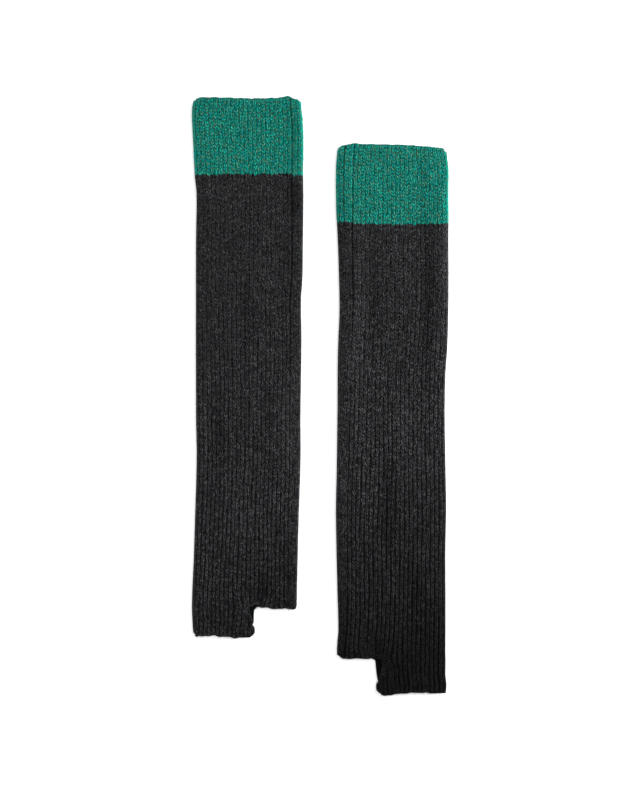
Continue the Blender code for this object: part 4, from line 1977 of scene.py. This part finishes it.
    def loop_rows(self, part: Part) -> list[float]:
        """Middles of the rows of loops of a part.

        Args:
            part: Cuff or leg.

        Returns:
            Distances down the tube.
        """
        cut = self.cut
        inset = self.edge_inset
        spans = {
            Part.CUFF: [(inset, cut.join)],
            Part.LEG: [(cut.join, cut.heel_hem - inset), (cut.heel_hem - inset, cut.hem - inset)],
        }[part]
        middles = []
        for start, end in spans:
            edges = self.rows(start, end, self.gauge.row)
            middles += [(upper + lower) / 2.0 for upper, lower in zip(edges, edges[1:])]
        return middles

    def rib_width(self, section: Section, rib: float) -> float:
        """Width of the rib round a place."""
        return self.tube.rib_place(section, rib + 0.5) - self.tube.rib_place(section, rib - 0.5)

    def phase(self, station: Station, down: float) -> float:
        """How far the loops of a rib are out of step with its neighbours', less near an edge.

        Args:
            station: Place round the tube.
            down: Distance down the tube.

        Returns:
            The distance down the tube.
        """
        cut = self.cut
        gauge = self.gauge
        bottom = cut.heel_hem if station.rib > cut.flap_ribs else cut.hem
        off_join = clamp(abs(down - cut.join) / gauge.phase_ease)
        held = clamp(min(down, bottom - down) / gauge.phase_ease - gauge.phase_hold)
        held *= gauge.join_phase + (1.0 - gauge.join_phase) * off_join
        return self.phases[self.column(station)] * gauge.row * held

    def column(self, station: Station) -> int:
        """Number of a rib's column of loops."""
        return int(station.rib) + (self.gauge.ribs if station.angle < 0.0 else 0) + 3 * abs(station.fold)

    def stray(self, station: Station, down: float) -> float:
        """How far a rib strays from its even line.

        Args:
            station: Place round the tube.
            down: Distance down the tube.

        Returns:
            The distance towards the heel, in ribs, and none on a fold.
        """
        if station.fold:
            return 0.0
        gauge = self.gauge
        start = gauge.stray_start * self.phases[self.column(station)]
        wave = math.sin(down / gauge.stray_length + start)
        wave += gauge.fine_stray * math.sin(down / gauge.fine_stray_length + gauge.fine_stray_start * start)
        footward = smooth_step((down - gauge.upper_end) / gauge.stray_reach)
        return gauge.stray * wave * (gauge.stray_head + (1.0 - gauge.stray_head) * footward)

    def loop_anchor(self, station: Station, down: float, width: float) -> Anchor:
        """Anchor of one loop.

        Args:
            station: Place round the tube.
            down: Distance down the tube.
            width: Width of its rib.

        Returns:
            The anchor.
        """
        tube = self.tube
        gauge = self.gauge
        footward = smooth_step((down - gauge.upper_end) / gauge.lower_reach)
        strayed = self.stray(station, down)
        down += self.phase(station, down)
        filled = gauge.upper_fill + (gauge.lower_fill - gauge.upper_fill) * footward
        bed = tube.bed(station)
        height = (tube.crest(station, down) + bed) / gauge.loop_height
        if not station.fold and station.angle > 0.0:
            if station.rib > gauge.seam_rib:
                filled = gauge.strip_fill
            for groove in self.cut.grooves:
                away = station.rib - groove.rib
                gap = groove.gap(down)
                if abs(away) < gauge.groove_ribs:
                    taken = gap * (groove.before if away < 0.0 else 1.0 - groove.before) / width
                    station = station._replace(rib=station.rib + math.copysign(taken / 2.0, away))
                    filled -= taken
                    opened = clamp(gap / gauge.full_groove)
                    strayed *= 1.0 - opened
                    if away < 0.0 and groove.rib == gauge.seam_rib:
                        height += gauge.seam_ridge * opened
        station = station._replace(rib=station.rib + strayed)
        last_green = 0.0 < self.cut.join - down < gauge.last_green * gauge.row
        length = gauge.row * (self.chance.uniform(*gauge.last_green_lengths) if last_green else 1.0)
        size = (width * filled * MM, length * MM, height * MM)
        point = tube.point(station, down, -bed)
        loose = gauge.upper_loose - gauge.lower_tightening * footward
        if station.fold:
            loose = gauge.fold_loose[station.angle < 0.0]
        facing = tube.facing(station, down, -bed)
        along = tube.upward(station, down, -bed)
        return Anchor(point, facing, along, size, loose, tube.shade(station, down))

    def front_anchors(self, part: Part) -> list[Anchor]:
        """Anchors of the loops of the front and the folds.

        Args:
            part: Cuff or leg.

        Returns:
            The anchors.
        """
        cut = self.cut
        ribs = self.gauge.ribs
        quarter = self.gauge.folds_round() / 4.0
        anchors = []
        for down in self.loop_rows(part):
            section = self.tube.section(down)
            last = ribs if down < cut.heel_hem else cut.flap_ribs
            for rib in range(last):
                station = Station(rib + 0.5)
                anchors.append(self.loop_anchor(station, down, self.rib_width(section, rib + 0.5)))
            folds = [(0, -1)]
            if down < cut.heel_hem:
                folds.append((ribs, 1))
            if down > cut.stirrup:
                folds.append((cut.flap_ribs, 1))
            for rib, fold in folds:
                for angle, share in self.fold_loops:
                    anchors.append(self.loop_anchor(Station(rib, angle, fold), down, share * quarter))
        return anchors

    def back_anchors(self, part: Part) -> list[Anchor]:
        """Anchors of the loops of the back.

        Args:
            part: Cuff or leg.

        Returns:
            The anchors.
        """
        anchors = []
        for down in self.loop_rows(part):
            section = self.tube.section(down)
            last = self.gauge.ribs if down < self.cut.heel_hem else self.cut.flap_ribs
            for rib in range(last):
                station = Station(rib + 0.5, BACK)
                anchors.append(self.loop_anchor(station, down, self.rib_width(section, rib + 0.5)))
        return anchors

    def edge_paths(self, part: Part) -> list[tuple[list[tuple[float, Station]], float]]:
        """Paths round the free edges of a part.

        Args:
            part: Cuff or leg.

        Returns:
            Pairs of a path, as distances down the tube with stations, and the way that the edge looks:
            1 down the tube, -1 up it and 0 sideways, off the flap's open edge.
        """
        cut = self.cut
        ring = self.ring()
        if part is Part.CUFF:
            return [([(0.0, station) for station in ring + ring[:1]], -1.0)]
        ribs = self.gauge.ribs
        flap = self.flap()
        closing = self.fold_run(cut.flap_ribs, 1, FRONT)
        heel = (self.cloth_run(cut.flap_ribs, ribs, FRONT, self.points_a_rib) + self.fold_run(ribs, 1, FRONT)
                + self.cloth_run(ribs, cut.flap_ribs, BACK, self.points_a_rib))
        paths = [
            ([(cut.heel_hem, station) for station in heel], 1.0),
            ([(cut.hem, station) for station in flap + closing + flap[:1]], 1.0),
        ]
        downs = self.rows(cut.heel_hem, cut.stirrup, self.selvedge_row)
        for angle in (FRONT, BACK):
            paths.append(([(down, Station(float(cut.flap_ribs), angle)) for down in downs], 0.0))
        return paths

    def edge_anchors(self, part: Part) -> list[Anchor]:
        """Anchors of the chains of loops round the free edges of a part.

        Args:
            part: Cuff or leg.

        Returns:
            The anchors, evenly spaced along each edge.
        """
        tube = self.tube
        out = -self.chain_bed * self.gauge.wall
        heelward = Vector((float(self.cut.hand.value), 0.0, 0.0))
        anchors = []
        for path, way in self.edge_paths(part):
            points = [tube.point(station, down, out) for down, station in path]
            lengths = [(end - start).length for start, end in zip(points, points[1:])]
            count = max(1, round(sum(lengths) / (self.chain_step * MM)))
            step = sum(lengths) / count
            passed, at = 0.0, 0
            for index in range(count):
                wanted = (index + 0.5) * step
                while passed + lengths[at] < wanted:
                    passed += lengths[at]
                    at += 1
                share = (wanted - passed) / lengths[at]
                down, station = path[at]
                normal = tube.facing(station, down, out)
                outward = heelward if way == 0.0 else -tube.upward(station, down, out) * way
                along = points[min(at + 1, len(points) - 1)] - points[max(at - 1, 0)]
                point = points[at].lerp(points[at + 1], share)
                point -= outward * self.chain_sink * self.chain_depth * MM
                point.z = max(point.z, self.chain_floor * MM)
                facing = (outward + self.chain_tilt * normal).normalized()
                size = (self.chain_width * MM, self.chain_fill * step, self.chain_depth * MM)
                anchors.append(Anchor(point, facing, along.normalized(), size, 1.0))
        return anchors

    def seam_anchors(self, part: Part) -> list[Anchor]:
        """Anchors of the bars across the lengthwise seam.

        Args:
            part: Cuff or leg.

        Returns:
            The anchors.
        """
        tube = self.tube
        station = Station(float(self.gauge.seam_rib))
        out = -self.gauge.front_bed - self.bar_bed
        wide, long, high = self.bar_size
        size = (wide * MM, long * MM, high * MM)
        anchors = []
        for down in self.loop_rows(part):
            if down <= self.cut.heel_hem:
                facing = tube.facing(station, down, out)
                along = tube.upward(station, down, out).cross(facing)
                anchors.append(Anchor(tube.point(station, down, out), facing, along, size, 1.0))
        return anchors

    def fibre_anchors(self, part: Part) -> list[Anchor]:
        """Anchors of the loose fibres: over the front, and more of them round the outline.

        Args:
            part: Cuff or leg.

        Returns:
            The anchors.
        """
        tube = self.tube
        chance = self.chance
        low, high = self.span(part)
        anchors = []
        while len(anchors) < self.fibres[part]:
            station, down = self.fibre_place(part, chance.uniform(low, high))
            out = tube.crest(station, down) - self.fibre_bed
            facing = tube.facing(station, down, out)
            turn = chance.uniform(0.0, 2.0 * math.pi)
            ahead = tube.upward(station, down, out)
            along = ahead * math.cos(turn) + facing.cross(ahead) * math.sin(turn)
            length = chance.uniform(*self.fibre_lengths) * MM
            point = tube.point(station, down, out)
            if point.z + self.fibre_reach * length * (along.z - self.fibre_droop) < 0.0:
                along = ahead
            anchors.append(Anchor(point, facing, along, (length,) * 3, 1.0))
        return anchors

    def fibre_place(self, part: Part, down: float) -> tuple[Station, float]:
        """Where a loose fibre goes: on a fold, on a rim or anywhere on the front.

        Args:
            part: Cuff or leg.
            down: Distance down the tube that was drawn for it.

        Returns:
            Its place round the tube and its distance down it.
        """
        cut = self.cut
        chance = self.chance
        heel_there = down < cut.heel_hem
        last = self.gauge.ribs if heel_there else cut.flap_ribs
        pick = chance.random()
        if pick < self.instep_draw:
            return Station(0, chance.uniform(*self.fibre_angles), -1), down
        if pick < self.heel_draw and (heel_there or down > cut.stirrup):
            return Station(last, chance.uniform(*self.fibre_angles), 1), down
        station = Station(chance.uniform(self.fibre_margin, last - self.fibre_margin))
        if pick < self.rim_draw:
            inward = chance.uniform(*self.fibre_rim)
            if part is Part.CUFF:
                return station, inward
            return station, (cut.heel_hem if station.rib > cut.flap_ribs else cut.hem) - inward
        return station, down

    def place_units(self, part: Part, kind: str, anchors: list[Anchor], unit: bpy.types.Object,
                    jitter: Jitter) -> bpy.types.Object:
        """Make one piece of units on anchors.

        Args:
            part: Cuff or leg.
            kind: What the units are, for the piece's name.
            anchors: Where they go.
            unit: The unit.
            jitter: How uneven they are.

        Returns:
            The piece.
        """
        name = f"{self.cut.name}_{part.value}_{kind}"
        finish = self.shop.finishes[self.yarn(part)]
        seed = self.cut.seed * 10 + len(kind)
        piece = self.shop.placing.build(name, anchors, unit, finish, jitter, seed)
        for vertex in piece.data.vertices:
            vertex.co.z = max(vertex.co.z, 0.0)
        return piece

    def span(self, part: Part) -> tuple[float, float]:
        """Distances down the tube at which a part starts and ends."""
        return (0.0, self.cut.join) if part is Part.CUFF else (self.cut.join, self.cut.hem)

    def flat_size(self, part: Part) -> tuple[float, float, float]:
        """Flat cut of a part, slit down one side and opened out.

        Args:
            part: Cuff or leg.

        Returns:
            Width round the tube, length down it and area, in metres and square metres.
        """
        gauge = self.gauge
        low, high = self.span(part)
        rows = self.rows(low, high, self.cut_row)
        widest, area = 0.0, 0.0
        for upper, lower in zip(rows, rows[1:]):
            section = self.tube.section((upper + lower) / 2.0)
            layer = section.width - 2.0 * gauge.fold_reach
            if section.down > self.cut.heel_hem:
                layer *= self.cut.flap_ribs / gauge.ribs
            width = 2.0 * layer + gauge.folds_round()
            widest = max(widest, width)
            area += width * (lower - upper)
        return widest * MM, (high - low) * MM, area * MM * MM

    def build(self) -> None:
        """Build and dress both parts."""
        shop = self.shop
        kinds = (
            ("front_loops", self.front_anchors, shop.front_loop, Jitter(place=0.5, turn=0.26, size=0.2)),
            ("back_loops", self.back_anchors, shop.back_loop, Jitter(place=0.3, turn=0.1, size=0.08)),
            ("edge_chain", self.edge_anchors, shop.front_loop, Jitter(turn=0.12, size=0.1)),
            ("seam_bars", self.seam_anchors, shop.seam_bar, Jitter(place=0.2, turn=0.12, size=0.12)),
            ("fuzz", self.fibre_anchors, shop.fibre, Jitter(turn=0.2, size=0.3)),
        )
        for part in Part:
            cloth = self.build_cloth(part)
            loops = [
                self.place_units(part, kind, anchors(part), unit, jitter)
                for kind, anchors, unit, jitter in kinds
            ]
            for piece in [cloth, *loops]:
                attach(piece, "root")
                self.yarn(part).value
                triangles = sum(len(face.vertices) - 2 for face in piece.data.polygons)
                lowest = min(vertex.co.z for vertex in piece.data.vertices) / MM
                LOG.info("%s: %d triangles, lowest point %.2f mm", piece.name, triangles, lowest)
            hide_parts(f"{self.cut.name}_{part.value}")
            width, length, area = self.flat_size(part)
            LOG.info("%s: flat %.4f x %.4f m, %.5f square metres", cloth.name, width, length, area)


@dataclass
class Studio:
    """Plain pale floor, soft light and a camera that looks straight down."""

    floor_half: float = 3.0
    distance: float = 2.2
    frame_height: float = 0.974
    aim_x: float = -0.0005
    aim_y: float = -0.0122
    sensor: float = 36.0

    def build(self) -> None:
        """Build the floor, the lights and the camera."""
        scene = bpy.context.scene
        scene.view_settings.view_transform = "Standard"
        scene.view_settings.look = "None"
        self.build_floor()
        self.build_world()
        self.area_light("key_light", (1.2, 0.7, 1.2), 1.2, 33.0)
        self.area_light("fill_light", (-1.1, -0.4, 1.7), 2.4, 38.0)
        self.area_light("side_light", (1.9, 0.2, 0.42), 0.7, 68.0)
        self.build_camera()

    def build_floor(self) -> None:
        """Build the floor."""
        half = self.floor_half
        mesh = bpy.data.meshes.new("floor")
        mesh.from_pydata([(-half, -half, 0.0), (half, -half, 0.0), (half, half, 0.0), (-half, half, 0.0)],
                         [], [(0, 1, 2, 3)])
        floor = bpy.data.objects.new("floor", mesh)
        bpy.context.scene.collection.objects.link(floor)
        material = bpy.data.materials.new("pale_floor")
        material.use_nodes = True
        surface = material.node_tree.nodes["Principled BSDF"]
        surface.inputs["Base Color"].default_value = (0.96, 0.96, 0.96, 1.0)
        surface.inputs["Roughness"].default_value = 0.9
        surface.inputs["Specular IOR Level"].default_value = 0.1
        mesh.materials.append(material)

    def build_world(self) -> None:
        """Build the soft light all round."""
        world = bpy.data.worlds.new("studio")
        world.use_nodes = True
        background = world.node_tree.nodes["Background"]
        background.inputs["Color"].default_value = (1.0, 1.0, 1.0, 1.0)
        background.inputs["Strength"].default_value = 0.5
        bpy.context.scene.world = world

    def area_light(self, name: str, place: tuple[float, float, float], size: float, power: float) -> None:
        """Build one area light that looks at the pair.

        Args:
            name: Its name.
            place: Where it hangs, in metres.
            size: Its side.
            power: Its power in watts.
        """
        light = bpy.data.lights.new(name, "AREA")
        light.shape = "SQUARE"
        light.size = size
        light.energy = power
        lamp = bpy.data.objects.new(name, light)
        lamp.location = place
        target = Vector((0.0, 0.05, 0.0))
        lamp.rotation_euler = (target - Vector(place)).to_track_quat("-Z", "Y").to_euler()
        bpy.context.scene.collection.objects.link(lamp)

    def build_camera(self) -> None:
        """Build the camera."""
        data = bpy.data.cameras.new("camera")
        data.sensor_fit = "VERTICAL"
        data.sensor_width = self.sensor
        data.sensor_height = self.sensor
        data.lens = self.sensor * self.distance / self.frame_height
        data.clip_start = 0.05
        data.clip_end = 20.0
        camera = bpy.data.objects.new("camera", data)
        camera.location = (self.aim_x, self.aim_y, self.distance + 0.006)
        bpy.context.scene.collection.objects.link(camera)
        bpy.context.scene.camera = camera


def write_sizes() -> None:
    """Bring the view layer up to date.
    """
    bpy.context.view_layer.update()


def main() -> None:
    """Build the pair and the studio round it."""
    logging.basicConfig(level=logging.INFO, format="%(name)s %(message)s")
    Studio().build()
    shop = Workshop()
    gauge = KnitGauge()
    for cut in (LEFT_CUT, RIGHT_CUT):
        LegWarmer(cut, gauge, shop).build()
    shop.clear()
    write_sizes()


if __name__ == "__main__":
    main()
